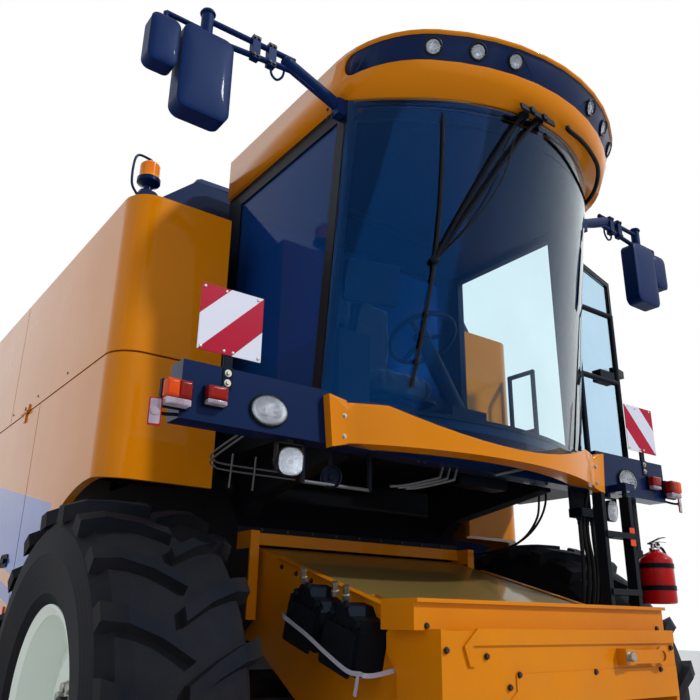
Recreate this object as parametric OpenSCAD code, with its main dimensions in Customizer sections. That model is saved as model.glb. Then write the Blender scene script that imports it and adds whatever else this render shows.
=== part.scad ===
// Combine harvester, parked on its wheels, with no header on the feeder house.
// X is across (+X the machine's left), Y runs from front to rear, Z is up.
// Places along Y are measured from the face of the front beam, which carries the
// warning signs, and at_frame() moves them to the middle of the overall length.

/* [Front wheels] */
// Radius of the front tyre over its lugs
front_r = 880; // [800:5:940]
// Width of the front tyre
front_w = 620; // [480:10:680]
// Half the front track, to the middle of the tyre
front_x = 1430; // [1400:5:1500]
// Front axle, behind the front beam
front_y = 870; // [840:5:900]
// Radius of the front rim's flange
front_rim_r = 432; // [380:2:450]
// Wheel base
wheel_base = 3650; // [3550:10:3750]

/* [Rear wheels] */
// Radius of the rear tyre over its lugs
rear_r = 630; // [560:5:660]
// Width of the rear tyre
rear_w = 440; // [340:10:460]
// Half the rear track, to the middle of the tyre
rear_x = 1400; // [1390:5:1440]
// Radius of the rear rim's flange
rear_rim_r = 326; // [280:2:350]
// Kingpin's place across
kingpin_x = 1120; // [1100:5:1130]

/* [Tyre lugs] */
// Lugs on each side of a tyre
lug_count = 20; // [14:1:22]
// Height of a lug
lug_h = 46; // [30:1:55]
// Width of a lug's top at the middle of the tread
lug_w = 58; // [40:1:70]

/* [Body] */
// Half the width over the side panels
panel_x = 1600; // [1585:5:1640]
// Thickness of a side panel, with its stiffeners
panel_t = 40; // [20:1:45]
// Top of the side panels
panel_top = 3300; // [3270:5:3330]
// Bottom of the side panels
panel_low = 1150; // [1100:5:1200]
// Level seam in the side panels
seam_z = 2450; // [2400:5:2500]
// Gap between neighbouring panels
panel_gap = 10; // [6:1:14]
// Front face of the right side panel
panel_front_r = 750; // [720:5:780]
// Front face of the left side panel, behind the platform
panel_front_l = 1140; // [1120:5:1180]
// Inner edge of the panels' front faces
panel_in_x = 1060; // [1045:5:1100]
// Rear end of the tail board, behind the front beam
y_rear = 7760; // [7700:10:7820]
// Rear of the threshing body
body_rear = 6350; // [6300:10:6400]
// Rear end of the side panels
panel_rear = 6850; // [6800:10:6900]
// Radius of the panels' outer front corners
panel_corner = 140; // [80:5:180]
// Front wheel arch radius
arch_r = 975; // [960:5:1000]
// Rear wheel arch radius
rear_arch_r = 760; // [740:5:800]
// Half the width of the threshing body
body_x = 780; // [770:5:790]

/* [Grain tank] */
// Half the width of the grain tank
tank_x = 1220; // [1180:5:1230]
// Front wall of the grain tank
tank_front = 1200; // [1190:5:1220]
// Rear wall of the grain tank
tank_rear = 3640; // [3580:5:3660]
// Wall of the tank and its extension
tank_wall = 25; // [12:1:30]
// Top of the sloped tank extension
tank_top = 3850; // [3800:5:3860]
// Half the width of the tank's covers
cover_x = 1040; // [1000:5:1060]
// Shoulder of the extension's right side
shoulder_x = 1430; // [1380:5:1450]
// Thickness of a tank cover
cover_t = 30; // [20:1:36]

/* [Cab] */
// Half the width of the cab over its pillars
cab_x = 905; // [890:5:915]
// Cab floor's upper face
floor_z = 2140; // [2120:5:2160]
// Top of the cab's posts, under the roof
post_top = 3650; // [3600:5:3680]
// Foot of the front post
post_foot_y = 90; // [60:5:110]
// Lean of the front post from foot to top
post_lean = 170; // [120:5:230]
// Rear edge of the side window and of the door
pillar_y = 960; // [920:5:980]
// Rear wall of the cab
cab_rear = 1110; // [1090:5:1120]
// Bow of the windscreen's foot, ahead of its corners
bow_low = 250; // [180:5:280]
// Bow of the windscreen's top, ahead of its corners
bow_top = 450; // [380:5:480]
// Thickness of the cab's glass
glass_t = 8; // [6:1:10]
// Dip of the windscreen's foot in the middle
foot_dip = 120; // [60:5:130]
// Rise of the roof over the cab's posts
roof_rise = 310; // [290:5:330]
// Front of the roof's visor, ahead of the front beam
visor_y = 700; // [680:5:720]
// Distance that the visor's lip lies behind its rim
visor_lean = 110; // [80:5:140]
// Radius of the visor's corners in plan
visor_corner = 560; // [500:10:600]
// Half the width of the roof
roof_x = 930; // [925:5:940]
// Angle at which the door stands open
door_open = 77; // [60:1:80]

/* [Feeder house] */
// Half the width of the feeder house
feeder_x = 700; // [660:5:705]
// Height of the feeder house
feeder_h = 560; // [500:5:580]
// Downward slope of the feeder house
feeder_slope = 15.6; // [13:0.2:18]
// Feeder pivot, behind the front beam
pivot_y = 960; // [940:5:980]
// Feeder pivot's height
pivot_z = 1390; // [1370:5:1400]
// Front face of the header frame, ahead of the front beam
header_y = 385; // [360:5:400]
// Half the width of the header frame
header_x = 780; // [760:5:800]
// Top of the header frame
header_top = 1345; // [1330:5:1360]
// Bottom of the header frame
header_low = 590; // [570:5:620]

/* [Unloading auger] */
// Radius of the auger's tube
auger_r = 150; // [120:2:155]
// Auger's place across
auger_x = 1395; // [1385:5:1400]
// Auger's pivot, behind the front beam
auger_y = 1760; // [1740:5:1800]
// Height of the auger's tube
auger_z = 3510; // [3490:5:3540]
// Length of the auger behind its pivot
auger_len = 5050; // [4800:10:5150]

/* [Signs and lamps] */
// Side of a square warning sign
sign_w = 282; // [270:2:290]
// Warning sign's place across
sign_x = 1392; // [1380:2:1400]
// Middle of the warning sign
sign_z = 2382; // [2370:2:2400]
// Headlamp's place across
lamp_x = 1200; // [1180:2:1220]
// Headlamp's height
lamp_z = 2050; // [2045:2:2060]

/* [Hidden] */
$fn = 48;

yellow = [0.86, 0.50, 0.03];
orange = [0.85, 0.38, 0.02];
navy = [0.03, 0.05, 0.11];
black = [0.05, 0.05, 0.06];
steel = [0.55, 0.53, 0.48];
white = [0.90, 0.90, 0.88];
rubber = [0.04, 0.04, 0.045];

// Running clearance of a pin in its bore, and the gap left at a seat
run = 0.06;
seat_gap = 0.3;

// Overall places that other sizes hang on
frame_y = (visor_y - y_rear) / 2;
rear_y = front_y + wheel_base;
beam_h = 230;
beam_low = floor_z - 180;
beam_d = 110;
deck_t = 30;

module at_frame() {
    translate([0, frame_y, 0]) children();
}

module both_sides() {
    children();
    mirror([1, 0, 0]) children();
}

// Plate with a Y, Z outline, from x0 on by t along X
module side_plate(x0, t) {
    translate([x0, 0, 0]) rotate([90, 0, 90]) linear_extrude(t) children();
}

// Plate with an X, Z outline, from y0 on by t along Y
module cross_plate(y0, t) {
    translate([0, y0 + t, 0]) rotate([90, 0, 0]) linear_extrude(t) children();
}

module x_rod(x0, len, y, z, r) {
    translate([x0, y, z]) rotate([0, 90, 0]) cylinder(h = len, r = r);
}

// Round bar from point p to point q
module bar(p, q, r) {
    d = q - p;
    translate(p) rotate([0, acos(d[2] / norm(d)), atan2(d[1], d[0])]) cylinder(h = norm(d), r = r, $fn = 20);
}

// Bent tube through the points, with a ball a little wider than the tube at each bend
module bent_tube(pts, r) {
    for (i = [0 : len(pts) - 2]) bar(pts[i], pts[i + 1], r);
    if (len(pts) > 2) {
        for (i = [1 : len(pts) - 2]) translate(pts[i]) sphere(r = r * 1.06, $fn = 20);
    }
}

// Box from its lowest corner a to its highest corner b
module block(a, b) {
    translate(a) cube(b - a);
}

/* Wheels */

hub_r = 75;
rim_wall = 12;

// Radius of a tyre's carcass at u, the share of half its width from the middle
function carcass(r, u) = r - lug_h - 58 * pow(u, 3.2);

// One lug, on the +X half of a tyre: sections run from the middle of the tread out
// columns: share of half the width, sweep back in degrees, half width, depth under the top
lug_table = [
    [-0.04, 0.0, 0.50, 0],
    [0.34, 5.2, 0.50, 3],
    [0.70, 9.0, 0.56, 14],
    [0.98, 11.2, 0.66, 48]
];

function lug_point(r, u, w, sweep, radius, shift) =
    let (turn = sweep + shift / r * 180 / PI)
    [u * w / 2, radius * sin(turn), radius * cos(turn)];

function lug_section(r, w, row) =
    let (root = carcass(r, max(row[0], 0)) - 16, top = r - row[3], half = row[2] * lug_w)
    [lug_point(r, row[0], w, row[1], root, -half * 1.35), lug_point(r, row[0], w, row[1], root, half * 1.35),
     lug_point(r, row[0], w, row[1], top, half), lug_point(r, row[0], w, row[1], top, -half)];

module lug(r, w) {
    pts = [for (row = lug_table) each lug_section(r, w, row)];
    last = 4 * (len(lug_table) - 1);
    sides = [for (s = [0 : len(lug_table) - 2]) for (k = [0 : 3])
        let (a = 4 * s + k, b = 4 * s + (k + 1) % 4) each [[a, b + 4, b], [a, a + 4, b + 4]]];
    ends = [[0, 1, 2], [0, 2, 3], [last + 2, last + 1, last], [last + 3, last + 2, last]];
    polyhedron(pts, concat(sides, ends));
}

// Tyre about the X axis: the carcass is one revolve, and the lugs stand on it
module tyre(r, w, rim_r) {
    half = [for (u = [0 : 0.2 : 0.9]) [carcass(r, u), u * w / 2]];
    wall = [[r - lug_h - 95, 0.955 * w / 2], [(r + rim_r) / 2 - 20, w / 2], [rim_r + 42, 0.93 * w / 2],
        [rim_r + 4, 0.84 * w / 2], [rim_r - 30, 0.80 * w / 2]];
    right = concat(half, wall);
    left = [for (i = [len(right) - 1 : -1 : 1]) [right[i][0], -right[i][1]]];
    rotate([0, 90, 0]) rotate_extrude($fn = 72) polygon(concat(right, left));
    for (i = [0 : lug_count - 1]) {
        rotate([360 * i / lug_count, 0, 0]) lug(r, w);
        rotate([360 * (i + 0.5) / lug_count, 0, 0]) mirror([1, 0, 0]) lug(r, w);
    }
}

// Rim about the X axis, its dish's face towards +X: barrel, disc and hub in one revolve
module rim(w, rim_r, disc_x) {
    b = 0.80 * w / 2;
    seat = rim_r - 30 - seat_gap;
    // inner face of the flange, which follows the tyre's bead
    lip = b + 0.04 * w / 2 * 30 / 34 + 1.2 * seat_gap;
    rotate([0, 90, 0]) rotate_extrude($fn = 72) polygon([
        [hub_r + run, disc_x - 60], [hub_r + 70, disc_x - 60], [hub_r + 70, disc_x - 30],
        [0.55 * rim_r, disc_x - 25], [0.80 * rim_r, disc_x - 70], [seat - rim_wall, disc_x - 75],
        [seat - rim_wall, -b - 2], [rim_r - 12, -lip - 10], [rim_r, -lip - 6], [rim_r, -lip],
        [seat, -b - seat_gap], [seat, b + seat_gap], [rim_r, lip], [rim_r, lip + 6],
        [rim_r - 12, lip + 10], [seat - rim_wall, b + 2], [seat - rim_wall, disc_x - 55],
        [0.80 * rim_r, disc_x - 50], [0.55 * rim_r, disc_x - 5], [hub_r + 70, disc_x], [hub_r + run, disc_x]
    ]);
}

module front_wheel_place() {
    translate([front_x, front_y, front_r]) children();
}

module rear_wheel_place() {
    translate([rear_x, rear_y, rear_r]) children();
}

front_disc = 140;
rear_disc = 90;

module tyre_fl() {
    color(rubber) at_frame() front_wheel_place() tyre(front_r, front_w, front_rim_r);
}

module tyre_fr() {
    color(rubber) at_frame() mirror([1, 0, 0]) front_wheel_place() tyre(front_r, front_w, front_rim_r);
}

module tyre_rl() {
    color(rubber) at_frame() rear_wheel_place() tyre(rear_r, rear_w, rear_rim_r);
}

module tyre_rr() {
    color(rubber) at_frame() mirror([1, 0, 0]) rear_wheel_place() tyre(rear_r, rear_w, rear_rim_r);
}

module rim_fl() {
    color(white) at_frame() front_wheel_place() rim(front_w, front_rim_r, front_disc);
}

module rim_fr() {
    color(white) at_frame() mirror([1, 0, 0]) front_wheel_place() rim(front_w, front_rim_r, front_disc);
}

module rim_rl() {
    color(white) at_frame() rear_wheel_place() rim(rear_w, rear_rim_r, rear_disc);
}

module rim_rr() {
    color(white) at_frame() mirror([1, 0, 0]) rear_wheel_place() rim(rear_w, rear_rim_r, rear_disc);
}

/* Frame and axles */

rail_x = 620;
rail_w = 90;
rail_h = 160;
rail_z = 1000 - rail_h;
rail_front = front_y + 110 + seat_gap;
rail_rear = 6300;
body_low = 1000;

// columns: place along Y, height
struts = [[1850, 1500], [1850, 2040], [3950, 1800], [6270, 2000], [6270, 1400]];

module main_frame() {
    // columns: place of a cross member along Y
    cross_members = [rail_front + 60, 2600, rear_y, rail_rear - 120];
    color(black) at_frame() {
        both_sides() block([rail_x - rail_w / 2, rail_front, rail_z], [rail_x + rail_w / 2, rail_rear, body_low - seat_gap]);
        for (y = cross_members) block([-rail_x, y - 50, rail_z + 20], [rail_x, y + 50, body_low - 20]);
        // rocking pivot's ears for the rear axle
        for (s = [-1, 1]) difference() {
            block([-90, rear_y + s * 150 - 20, rear_r - 20], [90, rear_y + s * 150 + 20, rail_z + 40]);
            translate([0, rear_y + s * 150 - 30, rear_r]) rotate([-90, 0, 0]) cylinder(h = 60, r = 40 + run);
        }
        for (s = [-1, 1]) block([-90, rear_y + s * 110 - 60, rail_z + 20], [90, rear_y + s * 110 + 60, body_low - 20]);
        // struts from the body to the side panels
        both_sides() for (st = struts) x_rod(body_x + seat_gap, panel_x - panel_t - body_x - 2 * seat_gap, st[0], st[1], 25);
    }
}

axle_h = 200;
// Top of the axle's beam under the feeder house, above the axle's centre
axle_low = 40;
drive_r = 230;
// inner face of the front wheel's disc
front_face_x = front_x + front_disc - 60;
drive_out = front_x - 0.8 * front_w / 2 + 60;
// lift cylinders' lower eyes
lift_x = 480;
lift_foot_y = 950;
lift_foot_z = 500;
lift_pin_r = 24;
lift_eye_w = 60;

module front_axle() {
    color(black) at_frame() difference() {
        union() {
            block([-900, front_y - 110, front_r - axle_h / 2], [900, front_y + 110, front_r + axle_low]);
            both_sides() block([800, front_y - 110, front_r - axle_h / 2], [900, front_y + 110, front_r + axle_h / 2]);
            both_sides() {
                // final drive case and the shaft that carries the wheel
                x_rod(880, drive_out - 880, front_y, front_r, drive_r);
                x_rod(drive_out - 1, front_face_x - 12 - drive_out, front_y, front_r, hub_r + 68);
                x_rod(drive_out, front_face_x + 100 - drive_out, front_y, front_r, hub_r);
                // fork for the lift cylinder's foot
                for (s = [-1, 1]) side_plate(lift_x + s * (lift_eye_w / 2 + 16) - 12, 24) polygon([
                    [lift_foot_y - 70, front_r - axle_h / 2 + 10], [lift_foot_y - 50, lift_foot_z - 45],
                    [lift_foot_y + 50, lift_foot_z - 45], [front_y + 108, front_r - axle_h / 2 + 10]
                ]);
                x_rod(lift_x - 60, 120, lift_foot_y, lift_foot_z, lift_pin_r);
            }
        }
    }
}

module rear_beam_half() {
    // tapered beam and the two ears that hold the kingpin
    difference() {
        union() {
            cross_plate(rear_y - 85, 170) polygon([
                [0, rear_r - 110], [0, rear_r + 110], [300, rear_r + 110], [kingpin_x - 130, rear_r + 85],
                [kingpin_x - 130, rear_r - 85], [300, rear_r - 110]
            ]);
            for (z = [rear_r - 125, rear_r + 85]) {
                block([kingpin_x - 135, rear_y - 60, z], [kingpin_x, rear_y + 60, z + 40]);
                translate([kingpin_x, rear_y, z]) cylinder(h = 40, r = 60);
            }
            block([kingpin_x - 175, rear_y - 60, rear_r - 125], [kingpin_x - 125, rear_y + 60, rear_r + 125]);
        }
        translate([kingpin_x, rear_y, rear_r - 200]) cylinder(h = 400, r = 32 + run);
    }
}

module rear_axle() {
    color(black) at_frame() {
        both_sides() rear_beam_half();
        translate([0, rear_y - 185, rear_r]) rotate([-90, 0, 0]) cylinder(h = 370, r = 40);
        // towing jaw behind the beam
        difference() {
            block([-60, rear_y + 180, rear_r - 50], [60, rear_y + 330, rear_r + 50]);
            block([-70, rear_y + 235, rear_r - 22], [70, rear_y + 340, rear_r + 22]);
            translate([0, rear_y + 290, rear_r - 60]) cylinder(h = 120, r = 16);
        }
    }
}

// Steering knuckle: kingpin between the beam's ears, and the spindle for the wheel
module knuckle() {
    translate([kingpin_x, rear_y, 0]) {
        translate([0, 0, rear_r - 125]) cylinder(h = 250, r = 32);
        translate([0, 0, rear_r - 80]) cylinder(h = 160, r = 58);
    }
    x_rod(kingpin_x + 75, rear_x + rear_disc - 72 - kingpin_x - 75, rear_y, rear_r, hub_r + 60);
    x_rod(kingpin_x + 30, rear_x + rear_disc + 35 - kingpin_x - 30, rear_y, rear_r, hub_r);
    // steering arm
    block([kingpin_x - 30, rear_y + 40, rear_r - 60], [kingpin_x + 30, rear_y + 190, rear_r - 30]);
}

module knuckle_l() {
    color(black) at_frame() knuckle();
}

module knuckle_r() {
    color(black) at_frame() mirror([1, 0, 0]) knuckle();
}

/* Threshing body, panels and covers */

mouth_r = 249;
cheek = body_x - feeder_x - 30;
shaft_r = 45;
lintel_z = 1660;

// The body's front plane, its slope up to the top, and the cheeks' front edges
face_y = pivot_y + 20;
slope_y = face_y + 350;
cheek_y = pivot_y - 110;

function slope_z(y) = lintel_z + 60 + (floor_z - lintel_z - 60) * (y - face_y) / (slope_y - face_y);

module thresher_body() {
    color(black) at_frame() difference() {
        side_plate(-body_x, 2 * body_x) polygon([
            [cheek_y, pivot_z - 130], [cheek_y, lintel_z - 60], [face_y, lintel_z - 60],
            [face_y, lintel_z + 60], [slope_y, floor_z], [body_rear, floor_z], [body_rear, 1450], [body_rear - 450, body_low],
            [slope_y + 120, body_low], [pivot_y + 130, pivot_z - 260]
        ]);
        // mouth that the feeder house turns in
        x_rod(-body_x + cheek, 2 * (body_x - cheek), pivot_y, pivot_z, mouth_r);
        block([-body_x + cheek, pivot_y - 200, pivot_z - 300], [body_x - cheek, pivot_y, pivot_z + mouth_r]);
        x_rod(-body_x - 10, 2 * body_x + 20, pivot_y, pivot_z, shaft_r + run);
    }
}

// Yellow frame round the mouth: a lintel over the feeder house and a post on each cheek
module mouth_frame() {
    z0 = pivot_z + feeder_r + 11;
    color(yellow) at_frame() {
        block([-body_x, face_y - 50, z0], [body_x, face_y - seat_gap, z0 + 60]);
        both_sides() {
            block([body_x - cheek, cheek_y - 12, pivot_z - 128], [body_x, cheek_y - seat_gap, z0 + 60]);
            block([body_x - cheek, cheek_y - 12, lintel_z - 60 + seat_gap], [body_x, face_y - seat_gap, z0 + 60]);
        }
    }
}

// Strip in plan, from the inner edge of the front face, round the corner and back along the side
module wrap_plan(y_front, y_back) {
    r = panel_corner;
    translate([panel_in_x, y_front]) square([panel_x - r - panel_in_x, panel_t]);
    translate([panel_x - panel_t, y_front + r]) square([panel_t, y_back - y_front - r]);
    intersection() {
        translate([panel_x - r, y_front + r]) difference() {
            circle(r = r);
            circle(r = r - panel_t);
        }
        translate([panel_x - r, y_front]) square([r, r]);
    }
}

upper_split = 2700;
shield_front = 2000;
shield_rear = 3900;

// Front corner panels of one side: the lower one is cut by the wheel arch
module corner_panels(y_front) {
    difference() {
        translate([0, 0, panel_low]) linear_extrude(seam_z - panel_gap / 2 - panel_low) wrap_plan(y_front, shield_front - panel_gap);
        x_rod(0, 2 * panel_x, front_y, front_r, arch_r);
        block([0, 0, 0], [2 * panel_x, front_y, front_r + arch_r - 5]);
    }
    translate([0, 0, seam_z + panel_gap / 2]) linear_extrude(panel_top - seam_z - panel_gap / 2) wrap_plan(y_front, upper_split - panel_gap);
}

screen_y = 4450;
screen_z = 2880;
screen_r = 360;
deck_end = panel_rear - 1600;

module rear_panel_outline() {
    difference() {
        polygon([
            [upper_split, seam_z + panel_gap / 2], [upper_split, panel_top], [deck_end, panel_top], [panel_rear, seam_z + 50],
            [panel_rear, panel_low + 500], [panel_rear - 350, panel_low + 150], [rear_y + rear_arch_r + 20, panel_low],
            [shield_rear + panel_gap, panel_low],
            [shield_rear + panel_gap, seam_z + panel_gap / 2]
        ]);
        translate([rear_y, rear_r]) circle(r = rear_arch_r);
    }
}

module side_panels() {
    color(yellow) at_frame() {
        both_sides() shield_ears();
        corner_panels(panel_front_l);
        mirror([1, 0, 0]) corner_panels(panel_front_r);
        side_plate(panel_x - panel_t, panel_t) rear_panel_outline();
        difference() {
            side_plate(-panel_x, panel_t) rear_panel_outline();
            x_rod(-panel_x - 10, panel_t + 20, screen_y, screen_z, screen_r + 12);
        }
    }
}

// Hinge line of a shield, outside the seam above it
hinge_out = 9;
hinge_r = 9;
hinge_pin_r = 4;
hinge_places = [shield_front + 300, shield_rear - 300];

module y_rod(x, z, y0, len, r) {
    translate([x, y0, z]) rotate([-90, 0, 0]) cylinder(h = len, r = r, $fn = 20);
}

// The two outer knuckles of each shield hinge, on the panel above
module shield_ears() {
    for (y = hinge_places) for (y0 = [y - 65, y + 25]) difference() {
        union() {
            y_rod(panel_x + hinge_out, seam_z, y0, 40, hinge_r);
            block([panel_x - 4, y0, seam_z + panel_gap / 2], [panel_x + hinge_out, y0 + 40, seam_z + 45]);
            block([panel_x + 1, y0, seam_z], [panel_x + hinge_out, y0 + 40, seam_z + 20]);
        }
        y_rod(panel_x + hinge_out, seam_z, y0 - 5, 50, hinge_pin_r + run);
    }
}

// Opening shield below the seam, hung along its top edge
module shield() {
    difference() {
        side_plate(panel_x - panel_t, panel_t) polygon([
            [shield_front, panel_low], [shield_front, seam_z - panel_gap / 2],
            [shield_rear, seam_z - panel_gap / 2], [shield_rear, panel_low]
        ]);
        for (y = hinge_places) block([panel_x - 14, y - 71, seam_z - 16], [panel_x + 5, y + 71, seam_z]);
    }
    for (y = hinge_places) {
        y_rod(panel_x + hinge_out, seam_z, y - 20, 40, hinge_r);
        y_rod(panel_x + hinge_out, seam_z, y - 65, 130, hinge_pin_r);
        block([panel_x - 2, y - 20, seam_z - 60], [panel_x + hinge_out, y + 20, seam_z]);
    }
}

module shield_l() {
    color(yellow) at_frame() shield();
}

module shield_r() {
    color(yellow) at_frame() mirror([1, 0, 0]) shield();
}

turret_r = auger_r + 12;
turret_top = panel_top + 25;

// Plan of the deck's front corner, inside the side panel's front face
module deck_corner(y_front) {
    inner = panel_x - panel_t - seat_gap;
    y0 = y_front + panel_t + seat_gap;
    translate([panel_in_x, y0]) square([panel_x - panel_corner - panel_in_x, panel_corner - panel_t]);
    translate([panel_in_x, y_front + panel_corner]) square([inner - panel_in_x, tank_front + 200 - y_front]);
    translate([panel_x - panel_corner, y_front + panel_corner]) circle(r = panel_corner - panel_t - seat_gap);
}

// Deck between the side panels' tops, round the cab, the tank and the auger's turret
module top_deck() {
    inner = panel_x - panel_t - seat_gap;
    deck_y = panel_front_l + panel_corner;
    color(navy) at_frame() translate([0, 0, panel_top - deck_t]) linear_extrude(deck_t) difference() {
        union() {
            deck_corner(panel_front_l);
            mirror([1, 0]) deck_corner(panel_front_r);
            translate([-inner, deck_y]) square([2 * inner, tank_rear + 40 - deck_y]);
        }
        translate([-tank_x - seat_gap, tank_front - seat_gap]) square([2 * (tank_x + seat_gap), tank_rear - tank_front + 2 * seat_gap]);
        translate([auger_x, auger_y]) circle(r = turret_r + seat_gap);
    }
}

hopper_z = 2250;
hopper_x = 420;
hopper_side = 2850;

module hopper_outline(wall) {
    x = tank_x - wall;
    polygon([
        [-hopper_x, hopper_z + wall], [hopper_x, hopper_z + wall], [x, hopper_side + wall * 0.6], [x, panel_top + 20],
        [-x, panel_top + 20], [-x, hopper_side + wall * 0.6]
    ]);
}

ext_low = panel_top;
ext_in_front = 130;

shoulder_z = ext_low + 170;

// Block with sloped sides, the tank's extension or the room in it: the right side has a
// shoulder, and the left one stays clear of the auger
module ext_block(wall, z0, z1) {
    rise = tank_top - ext_low;
    lean_x = (tank_x - cover_x) / rise;
    lean_y = ext_in_front / rise;
    x0 = tank_x - wall - lean_x * (z0 - ext_low);
    x1 = tank_x - wall - lean_x * (z1 - ext_low);
    yf0 = tank_front + wall + lean_y * (z0 - ext_low);
    yf1 = tank_front + wall + lean_y * (z1 - ext_low);
    yr0 = tank_rear - wall - lean_y * (z0 - ext_low);
    yr1 = tank_rear - wall - lean_y * (z1 - ext_low);
    intersection() {
        cross_plate(tank_front - 50, tank_rear - tank_front + 100) polygon([
            [-x0, z0], [x0, z0], [x1, z1], [-x1, z1], [-shoulder_x + 1.3 * wall, shoulder_z],
            [-shoulder_x + 1.3 * wall, shoulder_z - 60 + wall], [-tank_x + 2 * wall, ext_low + 10 + 1.3 * wall]
        ]);
        side_plate(-shoulder_x - 50, shoulder_x + tank_x + 100) polygon([[yf0, z0], [yf1, z1], [yr1, z1], [yr0, z0]]);
    }
}

module grain_tank() {
    color(navy) at_frame() {
        difference() {
            union() {
                cross_plate(tank_front, tank_rear - tank_front) hopper_outline(0);
                ext_block(0, ext_low, tank_top);
            }
            cross_plate(tank_front + tank_wall, tank_rear - tank_front - 2 * tank_wall) hopper_outline(tank_wall);
            ext_block(tank_wall, ext_low - 5, tank_top + 5);
        }
        both_sides() cover_ears();
        // saddles on the threshing body
        for (y = [tank_front + 300, tank_rear - 300]) block([-hopper_x + 20, y - 60, floor_z + seat_gap], [hopper_x - 20, y + 60, hopper_z + 5]);
        // turret of the unloading auger, with its elbow from the tank's side
        difference() {
            union() {
                translate([auger_x, auger_y, 2900]) cylinder(h = turret_top - 2900, r = turret_r);
                block([tank_x - 10, auger_y - 110, 2920], [auger_x, auger_y + 110, 3140]);
            }
            translate([auger_x, auger_y, 2940]) cylinder(h = 500, r = auger_r - 10);
        }
    }
}

cover_front = tank_front + ext_in_front;
cover_rear = tank_rear - ext_in_front;

cover_hinges = [cover_front + 350, cover_rear - 350];
cover_pin_x = cover_x + 15;
cover_pin_z = tank_top + 5;

// The two outer knuckles of each cover hinge, on the tank's sloped side
module cover_ears() {
    for (y = cover_hinges) for (y0 = [y - 65, y + 25]) difference() {
        union() {
            y_rod(cover_pin_x, cover_pin_z, y0, 40, hinge_r);
            block([cover_x - 8, y0, tank_top - 45], [cover_pin_x + hinge_r, y0 + 40, tank_top - 3]);
            block([cover_pin_x - 6, y0, tank_top - 10], [cover_pin_x + 6, y0 + 40, cover_pin_z]);
        }
        y_rod(cover_pin_x, cover_pin_z, y0 - 5, 50, hinge_pin_r + run);
    }
}

// One cover, pitched up to the middle, hinged along its outer edge
module tank_cover() {
    z0 = tank_top + seat_gap;
    color(navy) for (y = cover_hinges) {
        y_rod(cover_pin_x, cover_pin_z, y - 20, 40, hinge_r);
        y_rod(cover_pin_x, cover_pin_z, y - 65, 130, hinge_pin_r);
        block([cover_x - 20, y - 20, z0 + 3], [cover_pin_x, y + 20, z0 + 13]);
    }
    color(navy) cross_plate(cover_front, cover_rear - cover_front) polygon([
        [4, z0 + cover_t + 25], [4, z0 + 25], [cover_x - 30, z0], [cover_x, z0], [cover_x, z0 + 14], [cover_x - 30, z0 + cover_t]
    ]);
}

module tank_cover_l() {
    at_frame() tank_cover();
}

module tank_cover_r() {
    at_frame() mirror([1, 0, 0]) tank_cover();
}

/* Engine and rear end */

engine_low = floor_z + 110;
engine_front = tank_rear + 260;
engine_rear = engine_front + 1050;
pipe_y = engine_front + 400;

module engine() {
    color(black) at_frame() {
        block([-480, engine_front, engine_low], [480, engine_rear, engine_low + 800]);
        for (x = [-400, 400]) for (y = [engine_front + 100, engine_rear - 100])
            block([x - 50, y - 50, floor_z + seat_gap], [x + 50, y + 50, engine_low + 5]);
        // silencer and tail pipe
        translate([700, pipe_y, engine_low + 300]) cylinder(h = 900, r = 100);
        bent_tube([[480 - 20, pipe_y, engine_low + 600], [700, pipe_y, engine_low + 600]], 55);
        translate([700, pipe_y, engine_low + 1150]) cylinder(h = 350, r = 55);
        screen_mount();
    }
}

hood_t = 30;
// Raised box over the engine
box_front = tank_rear + 120;
box_rear = deck_end - 50;
box_top = panel_top + 230;
box_x = 1150;

// Rear deck and engine hood: one skin over the side panels' outline, with a raised box
module engine_hood() {
    inner = panel_x - panel_t - seat_gap;
    color(yellow) at_frame() difference() {
        union() {
            side_plate(-inner, 2 * inner) polygon([
                [tank_rear + 40 + seat_gap, panel_top - hood_t], [tank_rear + 40 + seat_gap, panel_top],
                [deck_end, panel_top], [panel_rear, seam_z + 50], [panel_rear, seam_z + 50 - hood_t * 1.2],
                [deck_end - 8, panel_top - hood_t]
            ]);
            difference() {
                side_plate(-box_x, 2 * box_x) polygon([
                    [box_front, panel_top - 10], [box_front, box_top - 80], [box_front + 80, box_top],
                    [box_rear - 300, box_top], [box_rear, panel_top - 10]
                ]);
                side_plate(-box_x + hood_t, 2 * (box_x - hood_t)) polygon([
                    [box_front + hood_t, panel_top - 40], [box_front + hood_t, box_top - 90],
                    [box_front + 90, box_top - hood_t], [box_rear - 310, box_top - hood_t],
                    [box_rear - hood_t, panel_top - 40]
                ]);
            }
            // cradle under the unloading auger
            block([auger_x - 95, box_rear - 120, panel_top - 5], [auger_x + 95, box_rear - 70, auger_z - auger_r - 6]);
        }
        // louvres in the box's right wall, and the hole for the tail pipe
        for (y = [engine_front : 110 : engine_rear - 100])
            block([-box_x - 10, y, panel_top + 40], [-box_x + 50, y + 60, panel_top + 190]);
        translate([700, pipe_y, panel_top - 60]) cylinder(h = 400, r = 70);
        translate([700, pipe_y, panel_top - 300]) cylinder(h = 300, r = 115);
        block([-1000, engine_front - 50, panel_top - 60], [550, engine_rear - 100, panel_top + 0.1]);
    }
}

// Rotary dust screen in the right panel: rim, spokes and hub, on its shaft
module dust_screen() {
    x0 = -panel_x - 20;
    color(black) at_frame() {
        difference() {
            x_rod(x0, 60, screen_y, screen_z, screen_r);
            x_rod(x0 + 20, 60, screen_y, screen_z, screen_r - 20);
            for (ring = [0 : 3]) difference() {
                x_rod(x0 - 5, 40, screen_y, screen_z, 110 + 62 * ring + 48);
                x_rod(x0 - 10, 50, screen_y, screen_z, 110 + 62 * ring);
                for (a = [0 : 30 : 150]) translate([x0 - 10, screen_y, screen_z]) rotate([a, 0, 0])
                    translate([0, -400, -9]) cube([60, 800, 18]);
            }
        }
        x_rod(x0 + 10, 1000, screen_y, screen_z, 40);
    }
}

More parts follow.
